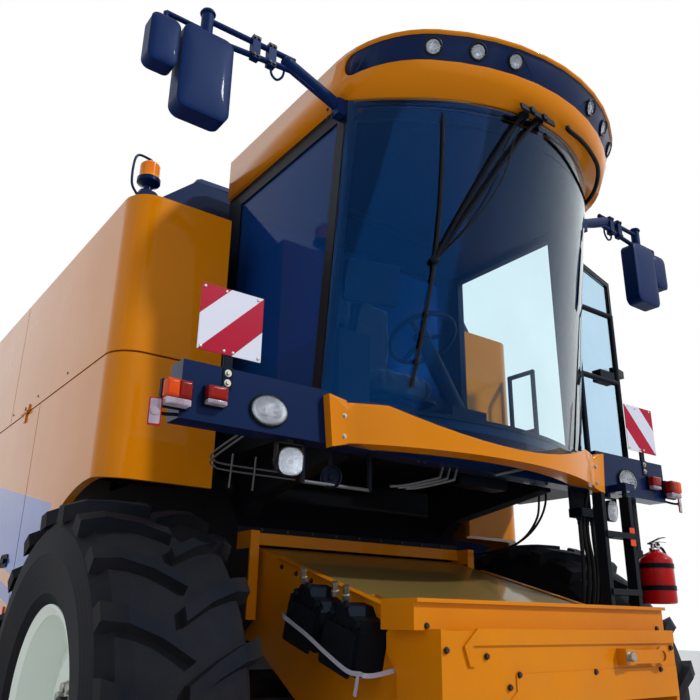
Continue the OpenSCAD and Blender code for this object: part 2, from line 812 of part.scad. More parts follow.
// Bearing bracket for the screen's shaft, on the engine's side
module screen_mount() {
    difference() {
        block([-700, screen_y - 120, screen_z - 120], [-475, screen_y + 120, screen_z + 120]);
        x_rod(-720, 130, screen_y, screen_z, 40 + run);
    }
}

hood_wall = 20;
hood_end = y_rear - 60;
chop_z = 1500;

module straw_hood() {
    front = body_rear + seat_gap;
    color(yellow) at_frame() difference() {
        side_plate(-body_x, 2 * body_x) polygon([
            [front, chop_z], [front, seam_z + 150], [front + 550, seam_z - 10], [hood_end - 150, seam_z - 200],
            [hood_end, chop_z + 250], [hood_end, chop_z + 120], [hood_end - 400, chop_z + 60]
        ]);
        side_plate(-body_x + hood_wall, 2 * (body_x - hood_wall)) polygon([
            [front + hood_wall, chop_z - 100], [front + hood_wall, seam_z + 150 - hood_wall * 1.6],
            [front + 550, seam_z - 10 - hood_wall * 1.2], [hood_end - 170, seam_z - 200 - hood_wall],
            [hood_end - hood_wall * 1.4, chop_z + 250], [hood_end - hood_wall * 1.4, chop_z - 100]
        ]);
    }
}

module straw_chopper() {
    front = body_rear + seat_gap;
    back = front + 850;
    color(yellow) at_frame() {
        difference() {
            side_plate(-body_x, 2 * body_x) polygon([
                [front, chop_z - 10], [front, chop_z - 420], [front + 550, chop_z - 450], [back, chop_z - 320],
                [back + 90, chop_z + 45]
            ]);
            side_plate(-body_x + hood_wall, 2 * (body_x - hood_wall)) polygon([
                [front + hood_wall, chop_z + 100], [front + hood_wall, chop_z - 400], [front + 540, chop_z - 430],
                [back - 25, chop_z - 310], [back + 60, chop_z + 100]
            ]);
        }
        // rotor on its shaft
        x_rod(-body_x + 5, 2 * body_x - 10, front + 430, chop_z - 170, 70);
        // tail board with its guide vanes
        side_plate(-body_x + 30, 2 * body_x - 60) polygon([
            [back - 5, chop_z - 255], [back + 4, chop_z - 220], [y_rear, chop_z - 380], [y_rear, chop_z - 410]
        ]);
        for (i = [-6 : 6]) side_plate(i * 110 - 4, 8) polygon([
            [back + 30, chop_z - 250], [y_rear - 20, chop_z - 400], [y_rear - 40, chop_z - 540], [back + 40, chop_z - 370]
        ]);
    }
}

module fuel_tank() {
    color(black) at_frame() translate([0, 0, 1250]) linear_extrude(620) difference() {
        union() {
            translate([body_x + seat_gap, 5420]) square([640, 780]);
        }
        translate([body_x + 580, 6140]) square([200, 200]);
    }
}

/* Cab */

platform_x = 1580;

// Arc that the trim and the windscreen's foot follow
bow_r = (pow(cab_x, 2) + pow(bow_low, 2)) / (2 * bow_low);

module bow_plan(r, back) {
    intersection() {
        translate([0, bow_r - bow_low + post_foot_y - 40]) circle(r = r, $fn = 128);
        translate([-cab_x + 10, -400]) square([2 * cab_x - 20, 400 + back]);
    }
}

floor_front = post_foot_y + 40;

// Front beam across the machine, with the floor under the windscreen's bow
module front_beam() {
    color(navy) at_frame() {
        block([-platform_x, 0, beam_low], [platform_x, beam_d, floor_z]);
        both_sides() block([cab_x + 22, 0, beam_low], [platform_x, beam_d, beam_low + beam_h]);
        slab(floor_z - 40, 40) bow_plan(bow_r - 60 - seat_gap, 1);
        for (x = [-700, 700]) block([x - 60, beam_d - 5, beam_low + 20], [x + 60, floor_front - seat_gap, beam_low + 170]);
        // ear that the ladder turns in
        difference() {
            block([ladder_x1 - 25, ladder_y - 40, beam_low], [ladder_x1 + 55, 10, beam_low + 40]);
            translate([ladder_x1 + 15, ladder_y, beam_low - 10]) cylinder(h = 60, r = ladder_pin_r + run);
        }
    }
}

// Cab floor on two arms that stand on the threshing body's sloped front
module cab_platform() {
    color(black) at_frame() {
        block([-cab_x, floor_front, floor_z - 90], [cab_x, cab_rear + 20, floor_z]);
        both_sides() side_plate(body_x - 120, 90) polygon([
            [floor_front + 60, floor_z - 85], [floor_front + 60, floor_z - 180], [face_y - 80, floor_z - 290],
            [face_y + 30, slope_z(face_y + 30) + 2 * seat_gap], [cab_rear, slope_z(cab_rear) + 2 * seat_gap], [cab_rear, floor_z - 85]
        ]);
        // walkway on the left
        block([cab_x - 5, beam_d + seat_gap, floor_z - 70], [platform_x - 20, panel_front_l - 20, floor_z - 30]);
    }
}

function post_y(z) = post_foot_y - post_lean * (z - floor_z) / (post_top - floor_z);

post_w = 60;
rail_top = 90;
door_hinge_y = 150;
door_gap = 8;
door_t = 30;
door_pin_x = cab_x + 18;
door_pin_r = 6;
door_hinges = [floor_z + 300, post_top - 350];

// Outline of the cab's side opening between the front post and the rear pillar
module side_opening(inset) {
    z0 = floor_z + 60 + inset;
    z1 = post_top - rail_top - inset;
    polygon([
        [post_y(z0) + post_w + inset, z0], [post_y(z1) + post_w + inset, z1], [pillar_y - inset, z1], [pillar_y - inset, z0]
    ]);
}

module door_opening(inset) {
    z0 = floor_z + 60 + inset;
    z1 = post_top - rail_top - inset;
    polygon([[door_hinge_y + inset, z0], [door_hinge_y + inset, z1], [pillar_y - inset, z1], [pillar_y - inset, z0]]);
}

module side_wall_outline() {
    polygon([
        [post_y(floor_z) - 5, floor_z + seat_gap], [post_y(post_top) - 5, post_top], [cab_rear, post_top],
        [cab_rear, floor_z + seat_gap]
    ]);
}

module cab_frame() {
    color(black) at_frame() difference() {
        union() {
            // sill under the windscreen
            slab(floor_z + seat_gap, 20 - 2 * seat_gap) difference() {
                bow_plan(bow_r - 45, 110);
                bow_plan(bow_r - 90, 110);
            }
            // hinge ears for the door
            for (z = door_hinges) for (z0 = [z - 65, z + 25]) {
                block([cab_x - 3, door_hinge_y - 40, z0], [door_pin_x, door_hinge_y, z0 + 40]);
                translate([door_pin_x, door_hinge_y, z0]) cylinder(h = 40, r = 11);
            }
            difference() {
                side_plate(-cab_x, 2 * cab_x) side_wall_outline();
                // the hollow inside, up to the roof
                block([-cab_x + 50, -800, floor_z + seat_gap + 20], [cab_x - 50, cab_rear - 50, post_top - 40]);
                block([-cab_x + post_w, -800, floor_z - 10], [cab_x - post_w, post_foot_y + post_w - 40, post_top + 10]);
            }
        }
        side_plate(-cab_x - 10, 100) side_opening(0);
        side_plate(cab_x - 90, 90 + seat_gap) door_opening(0);
        for (z = door_hinges) translate([door_pin_x, door_hinge_y, z - 70]) cylinder(h = 140, r = door_pin_r + run);
        // rear window
        cross_plate(cab_rear - 80, 120) polygon([
            [-cab_x + 120, floor_z + 560], [cab_x - 120, floor_z + 560], [cab_x - 120, post_top - rail_top], [-cab_x + 120, post_top - rail_top]
        ]);
    }
}

screen_top = post_top - 10;
dip_x = 0.75 * (cab_x - 4);
screen_cols = 16;
screen_rows = 4;

// Edge between the trim and the windscreen at x, which dips towards the middle
function foot_edge(x) = floor_z - foot_dip * max(0, 1 - pow(x / dip_x, 2));

// Point of the windscreen: u from -1 to 1 across, v from 0 at the foot to 1 at the top
function screen_point(u, v, inset) =
    let (x = u * (cab_x - 4), z0 = foot_edge(x) + seat_gap, z = z0 + v * (screen_top - z0),
        bow = bow_low + v * (bow_top - bow_low))
    [x, post_y(z) - 5 - 2 * seat_gap - glass_t - bow * (1 - u * u) + inset, z];

module bowed_glass() {
    n = screen_cols + 1;
    us = [for (i = [0 : screen_cols]) -1 + 2 * i / screen_cols];
    vs = [for (j = [0 : screen_rows]) j / screen_rows];
    outer = [for (v = vs) for (u = us) screen_point(u, v, 0)];
    inner = [for (v = vs) for (u = us) screen_point(u, v, glass_t)];
    m = len(outer);
    skin = [for (j = [0 : screen_rows - 1]) for (i = [0 : screen_cols - 1])
        let (a = j * n + i) each [[a, a + n, a + 1], [a + 1, a + n, a + n + 1]]];
    back = [for (f = skin) [f[2] + m, f[1] + m, f[0] + m]];
    foot = [for (i = [0 : screen_cols - 1]) each [[i, i + 1, i + m], [i + 1, i + 1 + m, i + m]]];
    t = screen_rows * n;
    head = [for (i = [0 : screen_cols - 1]) each [[t + i + m, t + i + 1, t + i], [t + i + m, t + i + 1 + m, t + i + 1]]];
    side_a = [for (j = [0 : screen_rows - 1]) let (a = j * n) each [[a, a + m, a + n], [a + m, a + n + m, a + n]]];
    side_b = [for (j = [0 : screen_rows - 1]) let (a = j * n + screen_cols) each [[a + n, a + m, a], [a + n, a + n + m, a + m]]];
    polyhedron(concat(outer, inner), concat(skin, back, foot, head, side_a, side_b));
}

module windscreen() {
    color([0.2, 0.5, 0.8, 0.4]) at_frame() bowed_glass();
}

module cab_glass() {
    color([0.2, 0.5, 0.8, 0.4]) at_frame() {
        side_plate(-cab_x + 10, glass_t) side_opening(seat_gap);
        cross_plate(cab_rear - 30, glass_t) polygon([
            [-cab_x + 120.3, floor_z + 560.3], [cab_x - 120.3, floor_z + 560.3],
            [cab_x - 120.3, post_top - rail_top - 0.3], [-cab_x + 120.3, post_top - rail_top - 0.3]
        ]);
    }
}

roof_low = post_top + seat_gap;
roof_top = post_top + roof_rise;
band_low = post_top + 115;
band_high = post_top + 235;
band_in = 40;
band_back = -90;

// The visor's middle arc, tangent to its corner arcs
corner_in = roof_x - visor_corner;
corner_y = -30;
corner_depth = visor_y + corner_y;
front_arc = (pow(corner_depth, 2) + pow(corner_in, 2) - pow(visor_corner, 2)) / (2 * (corner_depth - visor_corner));
corner_turn = atan2(front_arc - corner_depth, corner_in);

// Left half of the roof's outline, from the rear corner to the visor's middle
function roof_half(inset, back) = concat(
    [[roof_x - inset - 60, cab_rear + 40 - inset], [roof_x - inset, cab_rear - 20 - inset]],
    [for (i = [0 : 8]) let (a = -corner_turn * i / 8)
        [corner_in + (visor_corner - inset) * cos(a), corner_y + back + (visor_corner - inset) * sin(a)]],
    [for (i = [1 : 5]) let (a = -corner_turn - (90 - corner_turn) * i / 5)
        [(front_arc - inset) * cos(a), front_arc - visor_y + back + (front_arc - inset) * sin(a)]]
);

// Roof in plan, shrunk all round by inset, with its visor moved back
module roof_plan(inset, back = 0) {
    half = roof_half(inset, back);
    polygon(concat(half, [for (i = [len(half) - 2 : -1 : 0]) [-half[i][0], half[i][1]]]));
}

// How far back the visor lies at z, less towards its rim
function lean_back(z) = visor_lean * (band_high - z) / (band_high - roof_low);

// Roof between two levels, its visor leaning out upwards
module roof_layer(z0, z1, inset) {
    hull() {
        slab(z0, 0.5) roof_plan(inset, lean_back(z0));
        slab(z1 - 0.5, 0.5) roof_plan(inset, lean_back(z1));
    }
}

module slab(z, t) {
    translate([0, 0, z]) linear_extrude(t) children();
}

// Half space ahead of the band's ends, with round ends of the band
module band_zone(grow) {
    block([-2 * roof_x, -2 * visor_y, band_low - 10], [2 * roof_x, band_back - 50, band_high + 10]);
    x_rod(-2 * roof_x, 4 * roof_x, band_back - 50, (band_low + band_high) / 2, (band_high - band_low) / 2 + grow);
}

// Roof: lip, a recess for the band, and a domed top
module cab_roof() {
    color(yellow) at_frame() {
        roof_layer(roof_low, band_low, 0);
        difference() {
            roof_layer(band_low - 1, band_high + 1, 0);
            difference() {
                band_zone(0);
                roof_layer(band_low - 12, band_high + 12, band_in);
            }
            for (x = lamp_places) roof_lamp_place(x) translate([0, 0, -band_in - pocket]) cylinder(h = 60, r = 40 + seat_gap);
        }
        hull() {
            slab(band_high, 20) roof_plan(0);
            slab(roof_top - 22, 2) roof_plan(120, 50);
            slab(roof_top - 1, 1) roof_plan(360, 150);
        }
    }
}

// Places across of the roof's lamps, and the depth of their pockets
lamp_places = [-680, -485, -290, 290, 485, 680];
pocket = 8;

module roof_band() {
    color(navy) at_frame() difference() {
        intersection() {
            roof_layer(band_low + seat_gap, band_high - seat_gap, 8);
            band_zone(-2 * seat_gap);
        }
        roof_layer(band_low - 5, band_high + 5, band_in - seat_gap);
        for (x = lamp_places) roof_lamp_place(x) cylinder(h = 200, r = 44, center = true);
    }
}

module roof_lamp_place(x) {
    z = (band_low + band_high) / 2;
    a = asin(x / front_arc);
    droop = atan2(visor_lean, band_high - roof_low);
    translate([0, front_arc - visor_y + lean_back(z), z]) rotate([0, 0, a])
        translate([0, -front_arc, 0]) rotate([90 + droop, 0, 0]) children();
}

trim_low = floor_z - 175;

// Bowed trim under the windscreen, deep at its ends and slim in the middle
module cab_trim() {
    edge = [for (i = [0 : screen_cols]) let (x = (cab_x - 4) * (2 * i / screen_cols - 1)) [x, foot_edge(x)]];
    color(yellow) at_frame() {
        difference() {
            slab(trim_low, floor_z - trim_low) difference() {
                bow_plan(bow_r + 50, -seat_gap);
                bow_plan(bow_r - 60, 100);
            }
            cross_plate(-500, 600) polygon(concat([[-cab_x, floor_z + 50]], [[-cab_x, floor_z]], edge, [[cab_x, floor_z], [cab_x, floor_z + 50]]));
        }
        // end caps in front of the posts' feet
        both_sides() cross_plate(-45, 45 - seat_gap) polygon([
            [cab_x - 90, trim_low], [cab_x + 10, trim_low - 25], [cab_x + 32, floor_z + 24], [cab_x - 60, floor_z + 8]
        ]);
    }
}

module seat() {
    color(black) at_frame() {
        translate([0, 700, floor_z + 20 + 2 * seat_gap]) cylinder(h = 300, r = 110);
        block([-260, 480, floor_z + 320], [260, 960, floor_z + 460]);
        block([-250, 900, floor_z + 440], [250, 1040, floor_z + 1100]);
        block([-330, 500, floor_z + 440], [-258, 900, floor_z + 620]);
    }
}

module steering() {
    tilt = 28;
    color(black) at_frame() {
        block([-120, 60, floor_z + 20 + 2 * seat_gap], [120, 220, floor_z + 140]);
        translate([0, 140, floor_z + 130]) rotate([-tilt, 0, 0]) {
            cylinder(h = 560, r = 45);
            translate([0, 0, 560]) {
                rotate_extrude() translate([190, 0]) circle(r = 15, $fn = 16);
                for (a = [90, 210, 330]) rotate([0, 0, a]) translate([0, -14, -8]) cube([182, 28, 14]);
                translate([0, 0, -30]) cylinder(h = 50, r = 50);
            }
        }
        // console on the driver's right
        block([-560, 420, floor_z + 20 + 2 * seat_gap], [-360, 1000, floor_z + 560]);
    }
}

// Door, drawn shut and turned open about its hinge
module door_turn() {
    translate([door_pin_x, door_hinge_y, 0]) rotate([0, 0, -door_open]) translate([-door_pin_x, -door_hinge_y, 0]) children();
}

module door_frame() {
    handle_z = 2840;
    color(black) at_frame() door_turn() {
        difference() {
            side_plate(cab_x + 8, door_t) door_opening(-door_gap);
            side_plate(cab_x, door_t + 20) door_opening(28);
            for (z = door_hinges) block([cab_x, door_hinge_y - 20, z - 71], [cab_x + 50, door_hinge_y + 16, z + 71]);
        }
        // hinge knuckles on their pins, and the handle
        for (z = door_hinges) translate([door_pin_x, door_hinge_y, 0]) {
            translate([0, 0, z - 20]) cylinder(h = 40, r = 11);
            translate([0, 0, z - 65]) cylinder(h = 130, r = door_pin_r);
            block([-8, 0, z - 20], [8, 22, z + 20]);
        }
        block([cab_x + door_t + 4, pillar_y - 150, handle_z], [cab_x + door_t + 48, pillar_y - 10, handle_z + 50]);
    }
}

module door_glass() {
    color([0.2, 0.5, 0.8, 0.4]) at_frame() door_turn() side_plate(cab_x + 18, glass_t) door_opening(28 + seat_gap);
}

/* Lamps, signs, mirrors and rails */

// Lamp face from y forward, as a short drum
module drum(x, y, z, r, t) {
    translate([x, y, z]) rotate([90, 0, 0]) cylinder(h = t, r = r);
}

work_lamp_x = 1068;
work_lamp_z = 1868;

module clear_lamps() {
    color(white) at_frame() {
        both_sides() {
            drum(lamp_x, -seat_gap, lamp_z, 80, 22);
            block([work_lamp_x - 55, 20, work_lamp_z - 50], [work_lamp_x + 55, 100, work_lamp_z + 50]);
            block([work_lamp_x - 12, 40, work_lamp_z + 45], [work_lamp_x + 12, 80, beam_low - seat_gap]);
        }
        for (x = lamp_places) roof_lamp_place(x) translate([0, 0, seat_gap - band_in - pocket]) cylinder(h = 38, r = 40);
    }
}

module marker_lamps() {
    color([0.7, 0.1, 0.03]) at_frame() {
        both_sides() {
            block([1400, -50, 2020], [1490, -seat_gap, 2100]);
            block([1550, -70, 1985], [platform_x + 90, -seat_gap, 2090]);
        }
        // rotating beacon on its bracket at the tank's front right corner
        translate([-1470, 960, panel_top + seat_gap]) {
            cylinder(h = 12, r = 55);
            cylinder(h = 190, r = 20);
            translate([0, 0, 180]) cylinder(h = 28, r = 62);
            translate([0, 0, 200]) cylinder(h = 110, r = 55);
        }
    }
}

module warning_signs() {
    color([0.8, 0.1, 0.1]) at_frame() both_sides() {
        block([sign_x - sign_w / 2, -4, sign_z - sign_w / 2], [sign_x + sign_w / 2, 0, sign_z + sign_w / 2]);
        block([sign_x - 20, -0.5, beam_low + beam_h + seat_gap], [sign_x + 20, 12, sign_z + 60]);
    }
}

mirror_x = 1620;
mirror_w = 240;
arm_z = post_top + 92;
mirror_z = arm_z - 270;

// Box with rounded upright corners seen from the front, from y0 on by t
module rounded_box(x0, x1, z0, z1, r, y0, t) {
    hull() for (x = [x0 + r, x1 - r]) for (z = [z0 + r, z1 - r]) translate([x, y0 + t, z]) rotate([90, 0, 0]) cylinder(h = t, r = r, $fn = 24);
}

// Arm: a bracket on the front post, a thick tube, two rails with sleeves, and two heads
module mirror_side() {
    post_side = post_y(post_top);
    root = [cab_x + 22, post_side + 25, arm_z - 130];
    elbow = [cab_x + 310, -30, arm_z];
    block([cab_x + seat_gap, post_side - 5, arm_z - 185], [cab_x + 48, post_side + 55, arm_z - 98]);
    bar(root, elbow, 30);
    translate(elbow) sphere(r = 32, $fn = 20);
    for (s = [-1, 1]) bar(elbow + [-40, 0, s * 30], [mirror_x, 0, arm_z + s * 48], 14);
    for (x = [cab_x + 395, cab_x + 480]) block([x - 20, -40, arm_z - 62], [x + 20, -4, arm_z + 62]);
    translate([mirror_x, 0, arm_z - 90]) cylinder(h = 165, r = 28);
    rounded_box(mirror_x - mirror_w / 2, mirror_x + mirror_w / 2, mirror_z - 215, mirror_z + 215, 45, -45, 90);
    bar([mirror_x, 0, arm_z - 20], [mirror_x + 190, 0, arm_z - 20], 12);
    bar([mirror_x + 190, 0, arm_z - 20], [mirror_x + 190, 0, arm_z - 120], 12);
    rounded_box(mirror_x + 130, mirror_x + 260, arm_z - 312, arm_z - 72, 35, -35, 70);
}

module mirrors() {
    color(navy) at_frame() both_sides() mirror_side();
}

rail_r = 17;
walk_z = floor_z - 30;
rail_y = 75;
beam_top = beam_low + beam_h + seat_gap;

module handrails() {
    color(black) at_frame() {
        // front rail, two bars high, on the beam's top
        bent_tube([[cab_x + 60, rail_y, beam_top], [cab_x + 60, rail_y, 3130], [1330, rail_y, 3130], [1330, rail_y, beam_top]], rail_r);
        bar([cab_x + 60, rail_y, 2680], [1330, rail_y, 2680], rail_r);
        // catch for the open door
        block([1150, rail_y - 12, 2668], [1290, rail_y + 50, 2740]);
        // outer rail of the platform
        bent_tube([[1500, 870, walk_z + seat_gap], [1500, 870, 3000], [1500, 1090, 3000], [1500, 1090, walk_z + seat_gap]], rail_r);
        bar([1500, 870, 2560], [1500, 1090, 2560], rail_r);
    }
}

ladder_x0 = 795;
ladder_x1 = 1035;
ladder_y = -75;
ladder_low = 480;
ladder_top = beam_low - 30;
ladder_pin_r = 14;

module ladder() {
    color(black) at_frame() {
        for (x = [ladder_x0, ladder_x1]) block([x, ladder_y - 30, ladder_low], [x + 30, ladder_y + 30, ladder_top]);
        for (z = [ladder_low + 60 : 290 : ladder_top - 200]) block([ladder_x0 + 10, ladder_y - 40, z], [ladder_x1 + 20, ladder_y + 32, z + 30]);
        // pivot pin in the front beam's ear
        translate([ladder_x1 + 15, ladder_y, ladder_top - 60]) cylinder(h = 60 + 80, r = ladder_pin_r);
    }
}

ext_z = 1380;
ext_r = 92;

module fire_extinguisher() {
    color([0.7, 0.02, 0.02]) at_frame() translate([1405, 5, 0]) {
        translate([0, 0, ext_z]) rotate_extrude() polygon([
            [0, 0], [ext_r - 8, 0], [ext_r, 12], [ext_r, 225], [ext_r - 12, 252], [ext_r - 40, 275], [28, 288], [28, 315], [0, 315]
        ]);
        block([-16, -70, ext_z + 312], [16, 34, ext_z + 334]);
        // strap and bracket under the beam
        block([-18, ext_r - 4, ext_z + 40], [18, ext_r + 8, beam_low - seat_gap]);
        block([-60, ext_r - 30, ext_z + 110], [60, ext_r + 8, ext_z + 140]);
    }
}

/* Feeder house */

feeder_r = 225;
header_d = 190;
// The housing ends in an upright plane at the header frame's back
feeder_len = (pivot_y - feeder_r * sin(feeder_slope) + header_y - header_d - seat_gap) / cos(feeder_slope);
feeder_foot = feeder_len + feeder_h * tan(feeder_slope);
pin_out = 60;

// Feeder frame of reference: its pivot at the origin, forward along -Y, turned down by the slope
module feeder_place() {
    translate([0, pivot_y, pivot_z]) rotate([feeder_slope, 0, 0]) children();
}

feeder_wall = 12;
feeder_low = feeder_r - feeder_h;

module feeder_housing() {
    color(orange) at_frame() feeder_place() {
        difference() {
            side_plate(-feeder_x, 2 * feeder_x) union() {
                circle(r = feeder_r, $fn = 64);
                polygon([[0, feeder_r - 0.5], [-feeder_len, feeder_r - 0.5], [-feeder_foot, feeder_low], [-640, feeder_low], [-150, -feeder_r + 12], [0, -feeder_r + 12]]);
            }
            side_plate(-feeder_x + feeder_wall, 2 * (feeder_x - feeder_wall)) union() {
                circle(r = feeder_r - feeder_wall, $fn = 64);
                polygon([[0, feeder_r - feeder_wall], [-feeder_foot - 10, feeder_r - feeder_wall],
                    [-feeder_foot - 10, feeder_low + feeder_wall], [-640, feeder_low + feeder_wall], [-150, -feeder_r + 26], [0, -feeder_r + 26]]);
            }
            // slot in the top, near the right edge
            block([-feeder_x + 60, -feeder_len + 30, feeder_r - 40], [-feeder_x + 95, -feeder_len + 260, feeder_r + 10]);
            // way through to the threshing drum
            block([-feeder_x + 60, 60, -150], [feeder_x - 60, feeder_r + 20, 150]);
        }
        // pivot shaft ends that turn in the body's cheeks
        both_sides() x_rod(feeder_x - 8, body_x - feeder_x + pin_out, 0, 0, shaft_r);
    }
    // forks for the lift rods' eyes
    color(orange) at_frame() both_sides() for (s = [-1, 1]) {
        x0 = lift_x + s * (lift_eye_w / 2 + 20) - 10;
        side_plate(x0, 20) polygon([
            [lift_top_y - 90, lift_top_z + 85], [lift_top_y - 40, lift_top_z - 45], [lift_top_y + 40, lift_top_z - 45],
            [lift_top_y + 90, lift_top_z + 118]
        ]);
        x_rod(x0 + s * 12, 20, lift_top_y, lift_top_z, lift_pin_r);
    }
}

ledge_z = header_top - 110;
cover_out = 75;
cover_low = header_low + 380;
side_out = feeder_x + 20;

// Front cover's raised plates: a bent lip, a seamed strip and a hatch, and the latch's hook
module cover_plates(y) {
    cross_plate(y - 10, 11) polygon([
        [-545, ledge_z + 8], [-615, ledge_z - 52], [-590, ledge_z - 120], [-560, ledge_z - 120], [-572, ledge_z - 50],
        [side_out - 5, ledge_z - 45], [side_out - 5, ledge_z + 8]
    ]);
    cross_plate(y - 5, 6) polygon([
        [-345, ledge_z - 150], [side_out - 5, ledge_z - 140], [side_out - 5, cover_low], [-420, cover_low], [-345, ledge_z - 210]
    ]);
    block([290, y - 45, ledge_z - 130], [350, y + 1, ledge_z - 65]);
    difference() {
        union() {
            block([345, y - 40, ledge_z - 125], [570, y - 28, ledge_z - 70]);
            translate([570, y - 28, ledge_z - 97]) rotate([90, 0, 0]) cylinder(h = 12, r = 42);
        }
        translate([570, y - 20, ledge_z - 97]) rotate([90, 0, 0]) cylinder(h = 30, r = 22);
    }
}

// Header frame: a beam with a top flange, and below its ledge a cover and side plates round the mouth
module header_frame() {
    y0 = -header_y;
    back = y0 + header_d;
    front = y0 - cover_out;
    color(yellow) at_frame() difference() {
        union() {
            block([-header_x, y0, ledge_z], [header_x, back, header_top - 14]);
            block([-header_x, y0 - 20, header_top - 14], [header_x, back, header_top]);
            block([-side_out, front, ledge_z - 12], [side_out, y0 + 5, ledge_z]);
            block([-side_out, front, cover_low], [side_out, front + 10, ledge_z - 5]);
            cover_plates(front);
            block([-side_out, front, header_low], [side_out, back, header_low + 110]);
            both_sides() {
                side_plate(feeder_x + seat_gap, side_out - feeder_x) polygon([
                    [front, header_low], [front, ledge_z + 5], [back, ledge_z + 5], [back + 40, ledge_z - 10],
                    [back + 40, ledge_z - 80], [back - 20, ledge_z - 150], [back - 20, header_low]
                ]);
                x_rod(feeder_x + seat_gap, header_x - feeder_x - seat_gap, y0 + 70, header_low + 170, 50);
            }
        }
        both_sides() x_rod(feeder_x - 40, 200, y0 + 70, header_low + 170, 22);
    }
}

drum_y = -feeder_len + 190;
drum_z = feeder_low + 175;
chain_r = 120;
slat_n = 9;
shaft_end = feeder_x - feeder_wall - seat_gap;

// Chain conveyor: front drum, rear drum and three strands with slats between them
module feeder_chain() {
    color(black) at_frame() feeder_place() {
        for (p = [[drum_y, drum_z], [0, 0]]) {
            x_rod(-feeder_x + 30, 2 * feeder_x - 60, p[0], p[1], 95);
            x_rod(-shaft_end, 2 * shaft_end, p[0], p[1], 30);
        }
        for (x = [-feeder_x + 90, 0, feeder_x - 90]) chain_strand(x);
        for (i = [0 : slat_n]) {
            f = i / slat_n;
            y = f * drum_y;
            z = f * drum_z;
            for (s = [-1, 1]) block([-feeder_x + 60, y - 20, z + s * (chain_r + 8) - 12], [feeder_x - 60, y + 20, z + s * (chain_r + 8) + 12]);
        }
    }
}

module chain_strand(x) {
    difference() {
        chain_loop(x - 20, 40, chain_r);
        chain_loop(x - 25, 50, chain_r - 20);
    }
    difference() {
        chain_loop(x - 12, 24, chain_r - 18);
        chain_loop(x - 14, 28, 93);
    }
}

module chain_loop(x, t, r) {
    d = norm([drum_y, drum_z]);
    a = atan2(drum_z, drum_y);
    side_plate(x, t) {
        circle(r = r);
        translate([drum_y, drum_z]) circle(r = r);
        rotate(a) translate([0, -r + 0.5]) square([d, 2 * r - 1]);
    }
}

box_w = 130;
box_lift = 110;
box_places = [-825, -1110];

// Two control boxes on the feeder house's right side, each with a bevelled cap and a lid
module control_boxes() {
    color(black) at_frame() feeder_place() for (y = box_places) translate([0, 0, box_lift]) {
        side_plate(-feeder_x - box_w, box_w - seat_gap) polygon([
            [y, -140], [y, 20], [y + 35, 55], [y + 90, 62], [y + 120, 92], [y + 180, 92], [y + 205, 55],
            [y + 250, 30], [y + 250, -140]
        ]);
        for (i = [0 : 4]) block([-feeder_x - box_w - 8, y + 20 + 48 * i, -120], [-feeder_x - box_w + 2, y + 34 + 48 * i, 25]);
    }
}

/* Lift cylinders */

lift_top_y = 60;
lift_top_z = 690;
lift_v = [0, lift_top_y - lift_foot_y, lift_top_z - lift_foot_z];
lift_len = norm(lift_v);
lift_a = atan2(lift_v[2], -lift_v[1]);
barrel_len = 630;
barrel_foot = 110;
piston_y = 350;
rod_r = 28;

// Cylinder's frame of reference: its foot eye at the origin, its rod along -Y
module lift_place() {
    translate([lift_x, lift_foot_y, lift_foot_z]) rotate([-lift_a, 0, 0]) children();
}

module lift_barrel() {
    lift_place() difference() {
        union() {
            x_rod(-lift_eye_w / 2, lift_eye_w, 0, 0, 46);
            block([-lift_eye_w / 2 + 2, -barrel_foot - 15, -30], [lift_eye_w / 2 - 2, 0, 30]);
            rotate([90, 0, 0]) translate([0, 0, barrel_foot]) cylinder(h = barrel_len - barrel_foot, r = 50);
        }
        x_rod(-lift_eye_w, 2 * lift_eye_w, 0, 0, lift_pin_r + run);
        rotate([90, 0, 0]) translate([0, 0, barrel_foot + 20]) cylinder(h = barrel_len, r = rod_r + run);
    }
}

module lift_rod() {
    lift_place() {
        union() {
            rotate([90, 0, 0]) translate([0, 0, piston_y]) cylinder(h = lift_len - piston_y - 20, r = rod_r);
            x_rod(-lift_eye_w / 2, lift_eye_w, -lift_len, 0, 40);
        }
    }
}

module lift_barrel_l() {
    color(black) at_frame() lift_barrel();
}

module lift_barrel_r() {
    color(black) at_frame() mirror([1, 0, 0]) lift_barrel();
}

module lift_rod_l() {
    color(steel) at_frame() lift_rod();
}

module lift_rod_r() {
    color(steel) at_frame() mirror([1, 0, 0]) lift_rod();
}

/* Unloading auger */

module auger_tube() {
    color(yellow) at_frame() {
        // elbow on the turret, then the long tube and its spout
        translate([auger_x, auger_y, turret_top + seat_gap]) cylinder(h = auger_z - turret_top + 60, r = auger_r - 8);
        translate([auger_x, auger_y, turret_top + seat_gap]) cylinder(h = 18, r = turret_r);
        translate([auger_x, auger_y - 100, auger_z]) rotate([-90, 0, 0]) cylinder(h = auger_len + 100, r = auger_r);
        translate([auger_x, auger_y + auger_len - 190, auger_z]) rotate([0, 180, 0]) cylinder(h = 420, r = auger_r - 12);
    }
}

main_frame();
front_axle();
thresher_body();
side_panels();
shield_r();
shield_l();
top_deck();
grain_tank();
tank_cover_r();
tank_cover_l();
engine();
engine_hood();
dust_screen();
straw_hood();
straw_chopper();
fuel_tank();
front_beam();
cab_platform();
mouth_frame();
cab_frame();
windscreen();
cab_glass();
cab_roof();
roof_band();
cab_trim();
clear_lamps();
marker_lamps();
warning_signs();
seat();
steering();
mirrors();
handrails();
ladder();
fire_extinguisher();
door_frame();
door_glass();
feeder_housing();
header_frame();
feeder_chain();
control_boxes();
lift_barrel_r();
lift_barrel_l();
lift_rod_r();
lift_rod_l();
rear_axle();
knuckle_r();
knuckle_l();
auger_tube();
tyre_fr();
tyre_fl();
tyre_rr();
tyre_rl();
rim_fr();
rim_fl();
rim_rr();
rim_rl();
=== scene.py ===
import math

